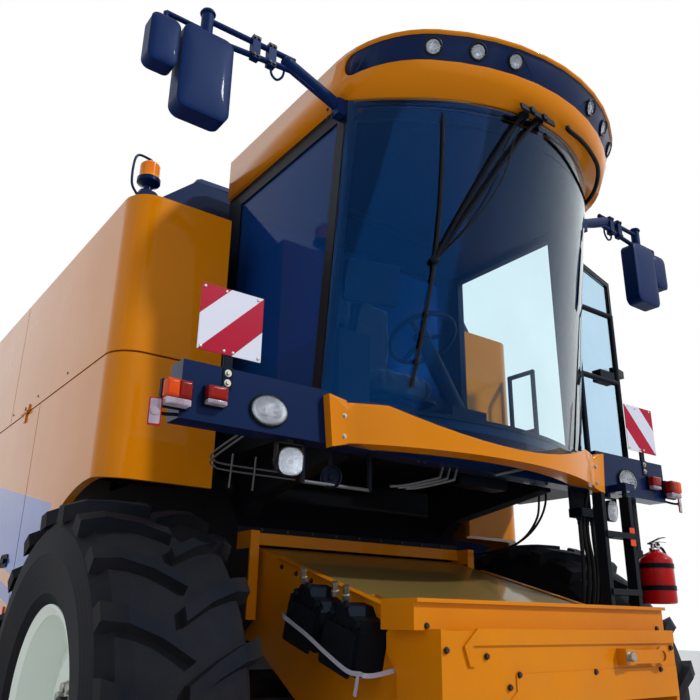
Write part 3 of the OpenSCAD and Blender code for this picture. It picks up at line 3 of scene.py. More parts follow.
import bmesh
import bpy
from bpy.props import FloatProperty, FloatVectorProperty, IntProperty, PointerProperty
from mathutils import Matrix, Vector


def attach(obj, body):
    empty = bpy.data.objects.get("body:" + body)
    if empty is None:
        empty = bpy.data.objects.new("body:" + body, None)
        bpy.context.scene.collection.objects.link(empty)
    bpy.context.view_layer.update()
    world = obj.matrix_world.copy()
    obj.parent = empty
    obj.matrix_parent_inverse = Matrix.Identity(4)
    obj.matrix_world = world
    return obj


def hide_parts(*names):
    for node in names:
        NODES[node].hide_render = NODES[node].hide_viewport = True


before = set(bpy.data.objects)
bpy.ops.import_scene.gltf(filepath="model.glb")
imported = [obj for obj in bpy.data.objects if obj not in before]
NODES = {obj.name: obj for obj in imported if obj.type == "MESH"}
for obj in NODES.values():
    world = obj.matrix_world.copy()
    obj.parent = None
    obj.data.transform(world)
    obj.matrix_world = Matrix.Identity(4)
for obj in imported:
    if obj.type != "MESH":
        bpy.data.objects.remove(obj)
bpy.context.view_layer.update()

bl_info = {
    "name": "Combine Harvester Dressing",
    "version": (1, 0, 0),
    "blender": (4, 5, 0),
    "location": "3D View > Sidebar > Combine",
    "description": "Paint, glass, lamps, cushions, hoses and fasteners for the combine harvester's frame",
    "category": "Object",
}

SIDES = (-1, 1)
SIDE_TAGS = ((-1, "r"), (1, "l"))
# Places are written in millimetres from the face of the front beam, as in the part's source
BEAM_FACE = -3.53

# Sizes and places of the CAD parts that the pieces stand on, in millimetres
FLOOR, CAB_X = 2140, 905
POST_TOP, POST_FOOT_Y, POST_LEAN = 3650, 90, 170
SCREEN_X, SCREEN_TOP, BOW_LOW, BOW_TOP, FOOT_DIP = CAB_X - 4, 3640, 250, 450, 120
BEAM_LOW, BEAM_TOP = 1960, 2190
LAMP_X, LAMP_Z, WORK_LAMP_X, WORK_LAMP_Z = 1200, 2050, 1068, 1868
SIGN_X, SIGN_Z, SIGN_W = 1392, 2382, 282
ROOF_LAMPS, FRONT_ARC, BAND_MIDDLE = (-680, -485, -290, 290, 485, 680), 1237.3, 3825
ARM_Z, MIRROR_X = 3742, 1620
BEACON_X, BEACON_Y = -1470, 960
PANEL_X, PANEL_TOP, COVER_TOP = 1600, 3300, 3850.3
AUGER_X, AUGER_Z, AUGER_R, SPOUT_Y = 1395, 3510, 150, 6620
DUST_SCREEN_Y, DUST_SCREEN_Z, DUST_SCREEN_R = 4450, 2880, 335
# Wheels: place across, place along and radius
FRONT_WHEEL, REAR_WHEEL = (1430, 870, 880), (1400, 4520, 630)
# Feeder house: pivot, slope in degrees, half its width and height, and its length
PIVOT_Y, PIVOT_Z, FEEDER_SLOPE, FEEDER_X, FEEDER_R, FEEDER_LEN = 960, 1390, 15.6, 700, 225, 1136
# Header frame: the two faces that bolts stand on, and the hatch's bolts as (x, z)
FRAME_FACE, FRAME_BACK = -460, -385
HATCH_BOLTS = ((-330, 1082), (130, 1082), (590, 1082), (-384, 1040), (-500, 1148), (-700, 1170), (690, 1170))
# Sloped rear of the engine hood and the straw hood's rear face: (y, z) at their two ends
REAR_SLOPE = ((5250, 3300), (6850, 2500))
HOOD_FACE = ((7550, 2250), (7700, 1750))


def at(x, y, z):
    """A point given in millimetres from the front beam's face, as a place in the frame."""
    return Vector((x / 1000, y / 1000 + BEAM_FACE, z / 1000))


def srgb(red, green, blue):
    """A colour given as it shows on a screen, from 0 to 255, as the linear colour that shaders take."""
    def line(v):
        v /= 255
        return v / 12.92 if v <= 0.04045 else ((v + 0.055) / 1.055) ** 2.4
    return (line(red), line(green), line(blue), 1.0)


def colour_prop(name, text, *rgb):
    """A colour for the panel, given as it shows on a screen."""
    return FloatVectorProperty(name=name, description=text, subtype="COLOR", size=4, min=0, max=1,
                               default=srgb(*rgb))


def length_prop(name, text, low, high, value):
    """A length for the panel, in metres."""
    return FloatProperty(name=name, description=text, unit="LENGTH", min=low, max=high, default=value)


class CombinePaint(bpy.types.PropertyGroup):
    """Colours of the finishes."""
    yellow: colour_prop("Body yellow", "Gloss paint of panels, roof and feeder house", 206, 122, 3)
    navy: colour_prop("Dark blue", "Paint of beam, tank and roof band", 8, 25, 62)
    black: colour_prop("Frame black", "Paint of frames, axles and rails", 20, 21, 25)
    rubber: colour_prop("Tyre rubber", "Rubber of the tyres", 14, 16, 21)
    rim: colour_prop("Rim white", "Paint of the rims", 236, 243, 235)
    decal: colour_prop("Swoosh blue", "Colour of the swoosh on the side panels", 16, 78, 176)
    glass: colour_prop("Glass tint", "Tint of the cab's glass", 214, 242, 251)
    sky: colour_prop("Glass sheen", "Tint of the light that the cab's glass reflects", 34, 108, 200)
    sign_red: colour_prop("Sign red", "Red of the striped signs", 160, 0, 42)
    dust: colour_prop("Dust", "Colour of dry field dust", 120, 98, 70)


class CombineSizes(bpy.types.PropertyGroup):
    """Sizes of the dressed pieces."""
    frit: length_prop("Glass border", "Width of the black border round the windscreen", 0.01, 0.12, 0.034)
    hose: length_prop("Hose", "Diameter of a hydraulic hose", 0.006, 0.05, 0.022)
    nut: length_prop("Wheel nut", "Width of a wheel nut over its flats", 0.02, 0.06, 0.04)
    nut_count: IntProperty(name="Wheel nuts", description="Nuts on a wheel", min=6, max=16, default=10)


def box(bm, low, high):
    """A box between two corners in millimetres."""
    low, high = at(*low), at(*high)
    for v in bmesh.ops.create_cube(bm, size=1.0)["verts"]:
        v.co = v.co * (high - low) + (low + high) / 2


def lathe(bm, profile, place, turns=32, closed=False):
    """A solid of revolution about the place's Z: (radius, height) in millimetres; a closed profile is a ring."""
    rings = []
    for radius, height in profile:
        if radius < 1e-3:
            rings.append([bm.verts.new(place @ Vector((0, 0, height / 1000)))])
        else:
            angles = [2 * math.pi * k / turns for k in range(turns)]
            rings.append([bm.verts.new(place @ (Vector((radius * math.cos(a), radius * math.sin(a), height)) / 1000))
                          for a in angles])
    pairs = list(zip(rings, rings[1:])) + ([(rings[-1], rings[0])] if closed else [])
    for a, b in pairs:
        for k in range(turns):
            n = (k + 1) % turns
            if len(a) == 1 and len(b) > 1:
                bm.faces.new((a[0], b[k], b[n]))
            elif len(b) == 1 and len(a) > 1:
                bm.faces.new((a[k], b[0], a[n]))
            elif len(a) > 1:
                bm.faces.new((a[k], b[k], b[n], a[n]))
    for ring in () if closed else (rings[0], rings[-1]):
        if len(ring) > 1:
            bm.faces.new(ring)


def tube(bm, points, radius, sides=12, steps=0):
    """A round tube of a radius in millimetres along places in millimetres, closed at both ends."""
    path = [at(*p) for p in points]
    sweep(bm, smooth_path(path, steps) if steps else path, radius / 1000, sides)


def sweep(bm, path, radius, sides):
    """A round tube of a radius in metres along places in metres, closed at both ends."""
    rings, normal = [], None
    for i, p in enumerate(path):
        ahead = (path[min(i + 1, len(path) - 1)] - path[max(i - 1, 0)]).normalized()
        normal = ahead.orthogonal() if normal is None else normal
        normal = (normal - ahead * normal.dot(ahead)).normalized()
        side = ahead.cross(normal)
        rings.append([bm.verts.new(p + radius * (math.cos(2 * math.pi * k / sides) * normal
                                                 + math.sin(2 * math.pi * k / sides) * side))
                      for k in range(sides)])
    for a, b in zip(rings, rings[1:]):
        for k in range(sides):
            bm.faces.new((a[k], a[(k + 1) % sides], b[(k + 1) % sides], b[k]))
    bm.faces.new(rings[0])
    bm.faces.new(rings[-1])


def prism(bm, outline, place, depth):
    """A flat plate: an outline in millimetres in the place's XY plane, raised by a depth along its Z."""
    ends = [[bm.verts.new(place @ (Vector((x, y, z)) / 1000)) for x, y in outline] for z in (0, depth)]
    bm.faces.new(ends[0])
    bm.faces.new(ends[1])
    for k in range(len(outline)):
        n = (k + 1) % len(outline)
        bm.faces.new((ends[0][k], ends[0][n], ends[1][n], ends[1][k]))


def rounded(width, height, radius, steps=6):
    """Outline of a rectangle with rounded corners about its middle."""
    points = []
    for turn, (sx, sy) in enumerate(((1, 1), (-1, 1), (-1, -1), (1, -1))):
        for k in range(steps + 1):
            a = math.pi / 2 * (turn + k / steps)
            points.append((sx * (width / 2 - radius) + radius * math.cos(a),
                           sy * (height / 2 - radius) + radius * math.sin(a)))
    return points


def smooth_path(points, steps):
    """A Catmull-Rom curve through the points."""
    full = [2 * points[0] - points[1]] + list(points) + [2 * points[-1] - points[-2]]
    out = []
    for i in range(1, len(full) - 2):
        a, b, c, d = full[i - 1:i + 3]
        for s in range(steps):
            t = s / steps
            out.append(0.5 * (2 * b + (c - a) * t + (2 * a - 5 * b + 4 * c - d) * t * t
                              + (3 * b - a - 3 * c + d) * t ** 3))
    return out + [points[-1]]


def facing_turn(direction):
    """Matrix that turns a local Z axis along the given direction, its Y axis upwards."""
    z = Vector(direction).normalized()
    up = Vector((0, 0, 1)) if abs(z.z) < 0.99 else Vector((0, 1, 0))
    x = up.cross(z).normalized()
    return Matrix((x, z.cross(x), z)).transposed().to_4x4()


def facing(direction, place):
    """The same turn, at a place in millimetres."""
    return Matrix.Translation(at(*place)) @ facing_turn(direction)


def feeder_point(x, y, z):
    """A place in the feeder house's own frame, from its pivot, as one in the machine's frame; both in millimetres."""
    a = math.radians(FEEDER_SLOPE)
    return (x, PIVOT_Y + y * math.cos(a) - z * math.sin(a), PIVOT_Z + y * math.sin(a) + z * math.cos(a))


def to_mesh(name, bm):
    """Ends a bmesh as a mesh."""
    mesh = bpy.data.meshes.new(name)
    bm.to_mesh(mesh)
    bm.free()
    return mesh


def add_object(name, data):
    """A new object in the scene."""
    obj = bpy.data.objects.new(name, data)
    bpy.context.scene.collection.objects.link(obj)
    return obj


def make_piece(name, bm, material, body, replaces=(), smooth=40, bevel=0.0):
    """Turns a bmesh into a finished piece that rides on a body."""
    bmesh.ops.recalc_face_normals(bm, faces=bm.faces)
    return place_mesh(name, to_mesh(name, bm), material, body, replaces, smooth, bevel)


def place_mesh(name, mesh, material, body, replaces=(), smooth=40, bevel=0.0):
    """Places a mesh as a piece: edges are smooth up to an angle in degrees, and bevelled by millimetres."""
    obj = add_object(name, mesh)
    mesh.materials.clear()
    mesh.materials.append(mat(material))
    for poly in mesh.polygons:
        poly.use_smooth = smooth > 0
    if smooth > 0:
        mesh.set_sharp_from_angle(angle=math.radians(smooth))
    if bevel > 0:
        edge = obj.modifiers.new("edge", "BEVEL")
        edge.width, edge.segments, edge.limit_method = bevel / 1000, 2, "ANGLE"
        edge.harden_normals = True
    if replaces:
        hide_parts(*replaces)
    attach(obj, body)
    return obj


def geometry_tree(name, inputs):
    """A Geometry Nodes tree with a geometry input, named inputs and a geometry output."""
    tree = bpy.data.node_groups.new(name, "GeometryNodeTree")
    tree.interface.new_socket(name="Geometry", in_out="INPUT", socket_type="NodeSocketGeometry")
    for label, kind, value in inputs:
        s = tree.interface.new_socket(name=label, in_out="INPUT", socket_type="NodeSocket" + kind)
        if value is not None:
            s.default_value = value
    tree.interface.new_socket(name="Geometry", in_out="OUTPUT", socket_type="NodeSocketGeometry")
    return tree, tree.nodes.new("NodeGroupInput"), tree.nodes.new("NodeGroupOutput")


def wire(tree, kind, links=(), **settings):
    """Adds a node: links are (input, socket or value), settings are the node's own properties."""
    n = tree.nodes.new(kind)
    for label, value in settings.items():
        setattr(n, label, value)
    for label, value in links:
        if isinstance(value, bpy.types.NodeSocket):
            tree.links.new(value, n.inputs[label])
        else:
            n.inputs[label].default_value = value
    return n


def calc(tree, op, a, b=None, c=None, clamp=False):
    """A Math node; its operands are numbers or sockets."""
    links = [(i, v) for i, v in enumerate((a, b, c)) if v is not None]
    return wire(tree, "ShaderNodeMath", links, operation=op, use_clamp=clamp).outputs[0]


def raised(tree, shape, height):
    """A mesh node's shape, moved up by a height."""
    lift = wire(tree, "ShaderNodeCombineXYZ", [("Z", height)])
    return wire(tree, "GeometryNodeTransform", [("Geometry", shape.outputs["Mesh"]),
                                                ("Translation", lift.outputs[0])]).outputs[0]


def on_points(tree, gin, shape):
    """Puts a shape on every point of the input, its Z along the attribute axis."""
    axis = wire(tree, "GeometryNodeInputNamedAttribute", [("Name", "axis")], data_type="FLOAT_VECTOR")
    turn = wire(tree, "FunctionNodeAlignRotationToVector", [("Vector", axis.outputs["Attribute"])], axis="Z")
    return wire(tree, "GeometryNodeInstanceOnPoints", [("Points", gin.outputs["Geometry"]), ("Instance", shape),
                                                       ("Rotation", turn.outputs[0])]).outputs[0]


def spun_on_points(tree, gin, shape):
    """The same, each shape turned about its axis by a seeded angle."""
    spin = wire(tree, "FunctionNodeRandomValue", [("Seed", 7), (3, 6.283)], data_type="FLOAT")
    about = wire(tree, "ShaderNodeCombineXYZ", [("Z", spin.outputs[1])])
    return wire(tree, "GeometryNodeRotateInstances", [("Instances", on_points(tree, gin, shape)),
                                                      ("Rotation", about.outputs[0])]).outputs[0]


def close_tree(tree, gin, gout, geometry):
    """Ends a tree with real faces in the material of its input."""
    real = wire(tree, "GeometryNodeRealizeInstances", [("Geometry", geometry)])
    done = wire(tree, "GeometryNodeSetMaterial", [("Geometry", real.outputs[0]),
                                                  ("Material", gin.outputs["Material"])])
    tree.links.new(done.outputs[0], gout.inputs[0])
    return tree


def build_bolt_tree():
    """A washer and a hexagon head with a chamfer on every point, turned to the point's axis."""
    tree, gin, gout = geometry_tree("hex_heads", [("Width", "Float", 0.022), ("Height", "Float", 0.4),
                                                  ("Washer", "Float", 1.25), ("Material", "Material", None)])
    half = calc(tree, "MULTIPLY", gin.outputs["Width"], 0.577)
    tall = calc(tree, "MULTIPLY", gin.outputs["Width"], gin.outputs["Height"])
    wide = calc(tree, "MULTIPLY", half, gin.outputs["Washer"])
    thin = calc(tree, "MULTIPLY", tall, 0.22)
    top = calc(tree, "MULTIPLY", half, 0.84)
    washer = wire(tree, "GeometryNodeMeshCylinder", [("Vertices", 14), ("Radius", wide), ("Depth", thin)])
    head = wire(tree, "GeometryNodeMeshCylinder", [("Vertices", 6), ("Radius", half), ("Depth", tall)])
    crown = wire(tree, "GeometryNodeMeshCone", [("Vertices", 6), ("Radius Top", top), ("Radius Bottom", half),
                                                ("Depth", thin)])
    join = wire(tree, "GeometryNodeJoinGeometry")
    for part in (raised(tree, crown, tall), raised(tree, head, calc(tree, "MULTIPLY", tall, 0.5)),
                 washer.outputs["Mesh"]):
        tree.links.new(part, join.inputs[0])
    return close_tree(tree, gin, gout, spun_on_points(tree, gin, join.outputs[0]))


def build_rivet_tree():
    """A domed rivet head on every point."""
    tree, gin, gout = geometry_tree("rivet_heads", [("Width", "Float", 0.014), ("Material", "Material", None)])
    half = calc(tree, "MULTIPLY", gin.outputs["Width"], 0.5)
    ball = wire(tree, "GeometryNodeMeshUVSphere", [("Segments", 10), ("Rings", 6), ("Radius", half)])
    flat = wire(tree, "GeometryNodeTransform", [("Geometry", ball.outputs["Mesh"]), ("Scale", (1.0, 1.0, 0.5))])
    return close_tree(tree, gin, gout, spun_on_points(tree, gin, flat.outputs[0]))


def build_slat_tree():
    """A flat bar on every point, its length along the attribute axis."""
    tree, gin, gout = geometry_tree("slats", [("Length", "Float", 0.5), ("Width", "Float", 0.03),
                                              ("Thick", "Float", 0.006), ("Material", "Material", None)])
    size = wire(tree, "ShaderNodeCombineXYZ", [("X", gin.outputs["Width"]), ("Y", gin.outputs["Thick"]),
                                               ("Z", gin.outputs["Length"])])
    bar = wire(tree, "GeometryNodeMeshCube", [("Size", size.outputs[0])])
    return close_tree(tree, gin, gout, on_points(tree, gin, bar.outputs["Mesh"]))


TREES = {}
TREE_BUILDERS = {"bolts": build_bolt_tree, "rivets": build_rivet_tree, "slats": build_slat_tree}


def grow(name, kind, spots, material, body, slot, **values):
    """Runs a Geometry Nodes tree on (place in millimetres, axis) spots and places the result as a piece."""
    if kind not in TREES:
        TREES[kind] = TREE_BUILDERS[kind]()
    mesh = bpy.data.meshes.new(name + "_spots")
    mesh.from_pydata([at(*place) for place, axis in spots], [], [])
    field = mesh.attributes.new("axis", "FLOAT_VECTOR", "POINT")
    for i, (place, axis) in enumerate(spots):
        field.data[i].vector = Vector(axis).normalized()
    seed = add_object(name + "_spots", mesh)
    grown = seed.modifiers.new("grow", "NODES")
    grown.node_group = TREES[kind]
    for item in TREES[kind].interface.items_tree:
        if item.name == "Material":
            grown[item.identifier] = mat(material)
        elif item.name != "Geometry":
            grown[item.identifier] = values.get(item.name.lower(), item.default_value)
    made = bake(seed)
    bpy.data.objects.remove(seed)
    made.name = name
    return place_mesh(name, made, material, body, smooth=30)


def bake(obj):
    """Applies the modifiers of an object and gives its new mesh."""
    graph = bpy.context.evaluated_depsgraph_get()
    made = bpy.data.meshes.new_from_object(obj.evaluated_get(graph), depsgraph=graph)
    obj.modifiers.clear()
    obj.data = made
    return made


def ring_spots(place, axis, radius, count):
    """Spots on a circle about an axis, all looking along it."""
    turn = facing_turn(axis)
    spots = []
    for k in range(count):
        a = 2 * math.pi * k / count
        off = turn @ Vector((radius * math.cos(a), radius * math.sin(a), 0))
        spots.append(((place[0] + off.x, place[1] + off.y, place[2] + off.z), axis))
    return spots


def row_spots(start, end, count, axis):
    """Evenly spaced spots from a place to another."""
    return [(tuple(a + (b - a) * k / (count - 1) for a, b in zip(start, end)), axis) for k in range(count)]


def new_group(name, inputs, outputs):
    """A shader node group with named sockets: inputs are (name, type, default), outputs are (name, type)."""
    tree = bpy.data.node_groups.new(name, "ShaderNodeTree")
    for label, kind, value in inputs:
        s = tree.interface.new_socket(name=label, in_out="INPUT", socket_type="NodeSocket" + kind)
        s.default_value = value
    for label, kind in outputs:
        tree.interface.new_socket(name=label, in_out="OUTPUT", socket_type="NodeSocket" + kind)
    return tree, tree.nodes.new("NodeGroupInput"), tree.nodes.new("NodeGroupOutput")


def mix_colour(tree, factor, a, b):
    """A mix of two colours, which are values or sockets."""
    return wire(tree, "ShaderNodeMix", [("Factor", factor), (6, a), (7, b)], data_type="RGBA").outputs[2]


def object_noise(tree, scale, detail=3.0, rough=0.55):
    """Noise on Object coordinates; scale may be a socket."""
    coord = wire(tree, "ShaderNodeTexCoord")
    return wire(tree, "ShaderNodeTexNoise", [("Vector", coord.outputs["Object"]), ("Scale", scale),
                                             ("Detail", detail), ("Roughness", rough)]).outputs["Fac"]


def object_axes(tree):
    """The X, Y and Z of Object coordinates, in metres in the machine's frame."""
    coord = wire(tree, "ShaderNodeTexCoord")
    return wire(tree, "ShaderNodeSeparateXYZ", [(0, coord.outputs["Object"])]).outputs


def build_tone_group():
    """Slow and fine colour change over a surface, and a height for its bump."""
    tree, gin, gout = new_group("surface_tone", [
        ("Colour", "Color", (0.5, 0.5, 0.5, 1)), ("Shade", "Color", (0.3, 0.3, 0.3, 1)),
        ("Patch scale", "Float", 1.4), ("Grain scale", "Float", 160.0), ("Amount", "Float", 0.3)],
        [("Colour", "Color"), ("Height", "Float"), ("Patch", "Float")])
    slow = object_noise(tree, gin.outputs["Patch scale"], 4.0)
    fine = object_noise(tree, gin.outputs["Grain scale"], 2.0)
    mask = calc(tree, "MULTIPLY_ADD", slow, 2.2, -0.65, clamp=True)
    speck = calc(tree, "MULTIPLY_ADD", fine, 0.4, -0.2)
    total = calc(tree, "MULTIPLY", calc(tree, "ADD", mask, speck, clamp=True), gin.outputs["Amount"])
    tree.links.new(mix_colour(tree, total, gin.outputs["Colour"], gin.outputs["Shade"]), gout.inputs["Colour"])
    tree.links.new(fine, gout.inputs["Height"])
    tree.links.new(mask, gout.inputs["Patch"])
    return tree


def build_dust_group():
    """Dry dust that thins out with height: a mask for colour and roughness."""
    tree, gin, gout = new_group("settled_dust", [
        ("Full below", "Float", 0.2), ("None above", "Float", 1.4), ("Amount", "Float", 0.5)],
        [("Mask", "Float")])
    ramp = wire(tree, "ShaderNodeMapRange", [
        ("Value", object_axes(tree)["Z"]), ("From Min", gin.outputs["Full below"]),
        ("From Max", gin.outputs["None above"]), ("To Min", 1.0), ("To Max", 0.0)])
    spots = calc(tree, "MULTIPLY_ADD", object_noise(tree, 5.0, 5.0, 0.65), 3.0, -1.05, clamp=True)
    mask = calc(tree, "MULTIPLY", ramp.outputs[0], spots)
    tree.links.new(calc(tree, "MULTIPLY", mask, gin.outputs["Amount"], clamp=True), gout.inputs["Mask"])
    return tree


def build_wheel_group():
    """Rings about a wheel's axle: soil in the grooves under the lug tops, and a ribbed side wall."""
    tree, gin, gout = new_group("wheel_rings", [
        ("Axle Y", "Float", 0.0), ("Axle Z", "Float", 0.8), ("Radius", "Float", 0.8)],
        [("Groove", "Float"), ("Ribs", "Float")])
    axes = object_axes(tree)
    dy = calc(tree, "SUBTRACT", axes["Y"], gin.outputs["Axle Y"])
    dz = calc(tree, "SUBTRACT", axes["Z"], gin.outputs["Axle Z"])
    r = calc(tree, "SQRT", calc(tree, "ADD", calc(tree, "MULTIPLY", dy, dy), calc(tree, "MULTIPLY", dz, dz)))
    share = calc(tree, "DIVIDE", r, gin.outputs["Radius"])
    groove = wire(tree, "ShaderNodeMapRange", [("Value", share), ("From Min", 0.985), ("From Max", 0.955)])
    wall = wire(tree, "ShaderNodeMapRange", [("Value", share), ("From Min", 0.9), ("From Max", 0.86)])
    ripple = calc(tree, "SINE", calc(tree, "MULTIPLY", share, 210.0))
    crest = calc(tree, "MULTIPLY", calc(tree, "MAXIMUM", ripple, 0.0), wall.outputs[0])
    tree.links.new(groove.outputs[0], gout.inputs["Groove"])
    tree.links.new(crest, gout.inputs["Ribs"])
    return tree


GROUPS = {}
GROUP_BUILDERS = {"surface_tone": build_tone_group, "settled_dust": build_dust_group, "wheel_rings": build_wheel_group}


def group_node(tree, name, **values):
    """Places a shared group, built once, with its own values."""
    if name not in GROUPS:
        GROUPS[name] = GROUP_BUILDERS[name]()
    n = tree.nodes.new("ShaderNodeGroup")
    n.node_tree = GROUPS[name]
    for label, value in values.items():
        n.inputs[label.replace("_", " ")].default_value = value
    return n


def paint():
    """The colours of the panel."""
    return bpy.context.scene.combine_paint


def sizes():
    """The sizes of the panel."""
    return bpy.context.scene.combine_sizes


MATERIALS = {}


def mat(name):
    """A finish by its name."""
    return MATERIALS[name]


def new_material(name):
    """A new material with its node tree and its shader."""
    made = bpy.data.materials.new(name)
    made.use_nodes = True
    return made, made.node_tree, made.node_tree.nodes["Principled BSDF"]


def set_inputs(node, values):
    """Sets a node's inputs from (name, value) pairs."""
    for label, value in values:
        node.inputs[label].default_value = value


def darker(colour, share):
    """A share of a colour's brightness."""
    return tuple(c * share for c in colour[:3]) + (1.0,)


def finish(name, colour, roughness=0.4, metallic=0.0, coat=0.0, shade=None, patch=1.4, grain=160.0, amount=0.3,
           bump=0.0, dust=None, pattern=None, ribs=None, constants=()):
    """Adds a surface finish: toned colour, roughness that follows the tone, fine bump, and optional dust or pattern."""
    made, tree, bsdf = new_material(name)
    tone = group_node(tree, "surface_tone", Colour=tuple(colour), Shade=shade or darker(colour, 0.72),
                      Patch_scale=patch, Grain_scale=grain, Amount=amount)
    out, height = tone.outputs["Colour"], tone.outputs["Height"]
    if pattern:
        out = pattern(tree, out)
    rough = calc(tree, "MULTIPLY_ADD", tone.outputs["Patch"], 0.1, roughness, clamp=True)
    if ribs:
        rings = group_node(tree, "wheel_rings", Axle_Y=ribs[0], Axle_Z=ribs[1], Radius=ribs[2])
        soil = calc(tree, "MULTIPLY", rings.outputs["Groove"], object_noise(tree, 9.0, 5.0))
        out = mix_colour(tree, calc(tree, "MULTIPLY", soil, 0.25), out, srgb(50, 45, 40))
        height = calc(tree, "MULTIPLY_ADD", rings.outputs["Ribs"], 0.5, height)
    if dust:
        film = group_node(tree, "settled_dust", Full_below=dust[0], None_above=dust[1], Amount=dust[2])
        out = mix_colour(tree, film.outputs["Mask"], out, tuple(paint().dust))
        rough = calc(tree, "MULTIPLY_ADD", film.outputs["Mask"], 0.35, rough, clamp=True)
    tree.links.new(out, bsdf.inputs["Base Color"])
    tree.links.new(rough, bsdf.inputs["Roughness"])
    set_inputs(bsdf, (("Metallic", metallic), ("Coat Weight", coat), ("Coat Roughness", 0.06), ("Coat IOR", 1.16),
                      ("Specular IOR Level", 0.5 if metallic > 0.5 else 0.1), *constants))
    if bump > 0:
        b = wire(tree, "ShaderNodeBump", [("Strength", bump), ("Distance", 0.002), ("Height", height)])
        tree.links.new(b.outputs[0], bsdf.inputs["Normal"])
    MATERIALS[name] = made


def clear(name, colour, ior=1.5, sheen=(1, 1, 1, 1), level=0.5, ripple=None, veil=0.0):
    """Adds glass or clear plastic, with patches of faint film in its tint and optional prisms on it."""
    made, tree, bsdf = new_material(name)
    set_inputs(bsdf, (("Roughness", 0.0), ("Transmission Weight", 1.0 - veil), ("IOR", ior),
                      ("Specular IOR Level", level), ("Specular Tint", tuple(sheen))))
    film = calc(tree, "MULTIPLY_ADD", object_noise(tree, 3.0, 4.0), 1.6, -0.5, clamp=True)
    tree.links.new(mix_colour(tree, film, tuple(colour), darker(colour, 0.9)), bsdf.inputs["Base Color"])
    if ripple:
        coord = wire(tree, "ShaderNodeTexCoord")
        wave = wire(tree, "ShaderNodeTexWave", [("Vector", coord.outputs["Object"]), ("Scale", ripple)],
                    bands_direction="X")
        b = wire(tree, "ShaderNodeBump", [("Strength", 0.6), ("Distance", 0.003), ("Height", wave.outputs["Fac"])])
        tree.links.new(b.outputs[0], bsdf.inputs["Normal"])
    MATERIALS[name] = made


# The swoosh on the side panels, in metres behind the beam's face and above the ground
SWOOSH_TIP_Y, SWOOSH_TIP_Z = 1.43, 1.80
SWOOSH_RISE, SWOOSH_DROP, SWOOSH_SOLE_Z, SWOOSH_SOLE_RISE = 0.19, 0.80, 1.46, 0.22


def swoosh(tree, base):
    """Blue swoosh that widens behind its tip, with a thin second band below it."""
    axes = object_axes(tree)
    y = calc(tree, "SUBTRACT", axes["Y"], SWOOSH_TIP_Y + BEAM_FACE)
    z = axes["Z"]
    top = calc(tree, "MULTIPLY_ADD", y, SWOOSH_RISE, SWOOSH_TIP_Z)
    nose = calc(tree, "MULTIPLY_ADD", y, -SWOOSH_DROP, SWOOSH_TIP_Z)
    sole = calc(tree, "MULTIPLY_ADD", y, SWOOSH_SOLE_RISE, SWOOSH_SOLE_Z - 0.12)
    low = calc(tree, "SMOOTH_MAX", nose, sole, 0.12)
    inside = calc(tree, "MULTIPLY", calc(tree, "LESS_THAN", z, top), calc(tree, "GREATER_THAN", z, low))
    below = calc(tree, "SUBTRACT", low, z)
    band = calc(tree, "MULTIPLY", calc(tree, "GREATER_THAN", below, 0.07), calc(tree, "LESS_THAN", below, 0.15))
    band = calc(tree, "MULTIPLY", band, calc(tree, "GREATER_THAN", y, 0.5))
    side = calc(tree, "GREATER_THAN", calc(tree, "ABSOLUTE", axes["X"]), PANEL_X / 1000 - 0.06)
    mask = calc(tree, "MULTIPLY", calc(tree, "MAXIMUM", inside, band), side)
    depth = wire(tree, "ShaderNodeMapRange", [("Value", calc(tree, "SUBTRACT", top, z)), ("From Min", 0.0),
                                              ("From Max", 0.22)])
    blue = tuple(paint().decal)
    pale = tuple(c + (1 - c) * 0.1 for c in blue[:3]) + (1.0,)
    return mix_colour(tree, mask, base, mix_colour(tree, depth.outputs[0], pale, blue))


def painted_shade_top_sheet(tree, base):
    """The feeder house's top sheet, between its yellow edges, is painted olive grey: painted shade and reflection,
    standing for the cab's shadow and the dark underside that the glossy yellow sheet reflects.
    """
    axes = object_axes(tree)
    slope = math.radians(FEEDER_SLOPE)
    pivot = at(0, PIVOT_Y, PIVOT_Z)
    back = calc(tree, "SUBTRACT", axes["Y"], pivot.y)
    up = calc(tree, "SUBTRACT", axes["Z"], pivot.z)
    rise = calc(tree, "MULTIPLY_ADD", back, -math.sin(slope), calc(tree, "MULTIPLY", up, math.cos(slope)))
    reach = calc(tree, "MULTIPLY_ADD", back, math.cos(slope), calc(tree, "MULTIPLY", up, math.sin(slope)))
    level = calc(tree, "LESS_THAN", calc(tree, "ABSOLUTE", calc(tree, "SUBTRACT", rise, FEEDER_R / 1000)), 0.0015)
    within = calc(tree, "LESS_THAN", calc(tree, "ABSOLUTE", axes["X"]), (FEEDER_X - 8) / 1000)
    behind = calc(tree, "GREATER_THAN", reach, -FEEDER_LEN / 1000)
    mask = calc(tree, "MULTIPLY", calc(tree, "MULTIPLY", level, within), behind)
    # Olive grey mixed onto the top sheet: painted shade and reflection on the yellow sheet
    return mix_colour(tree, mask, base, srgb(118, 100, 56))


# A red and a white stripe together, in metres
STRIPE_PITCH = 0.3


def stripes(tree, base):
    """Red and white stripes across a sign, sloping down to the outside of the machine."""
    axes = object_axes(tree)
    out = calc(tree, "ADD", calc(tree, "ABSOLUTE", axes["X"]), axes["Z"])
    run = calc(tree, "DIVIDE", calc(tree, "SUBTRACT", out, (SIGN_X + SIGN_Z) / 1000), STRIPE_PITCH)
    red = calc(tree, "GREATER_THAN", calc(tree, "FRACT", run), 0.5)
    return mix_colour(tree, red, base, tuple(paint().sign_red))


def wheel_values(wheel):
    """Place along, height and radius of a wheel in metres."""
    return (wheel[1] / 1000 + BEAM_FACE, wheel[2] / 1000, wheel[2] / 1000)


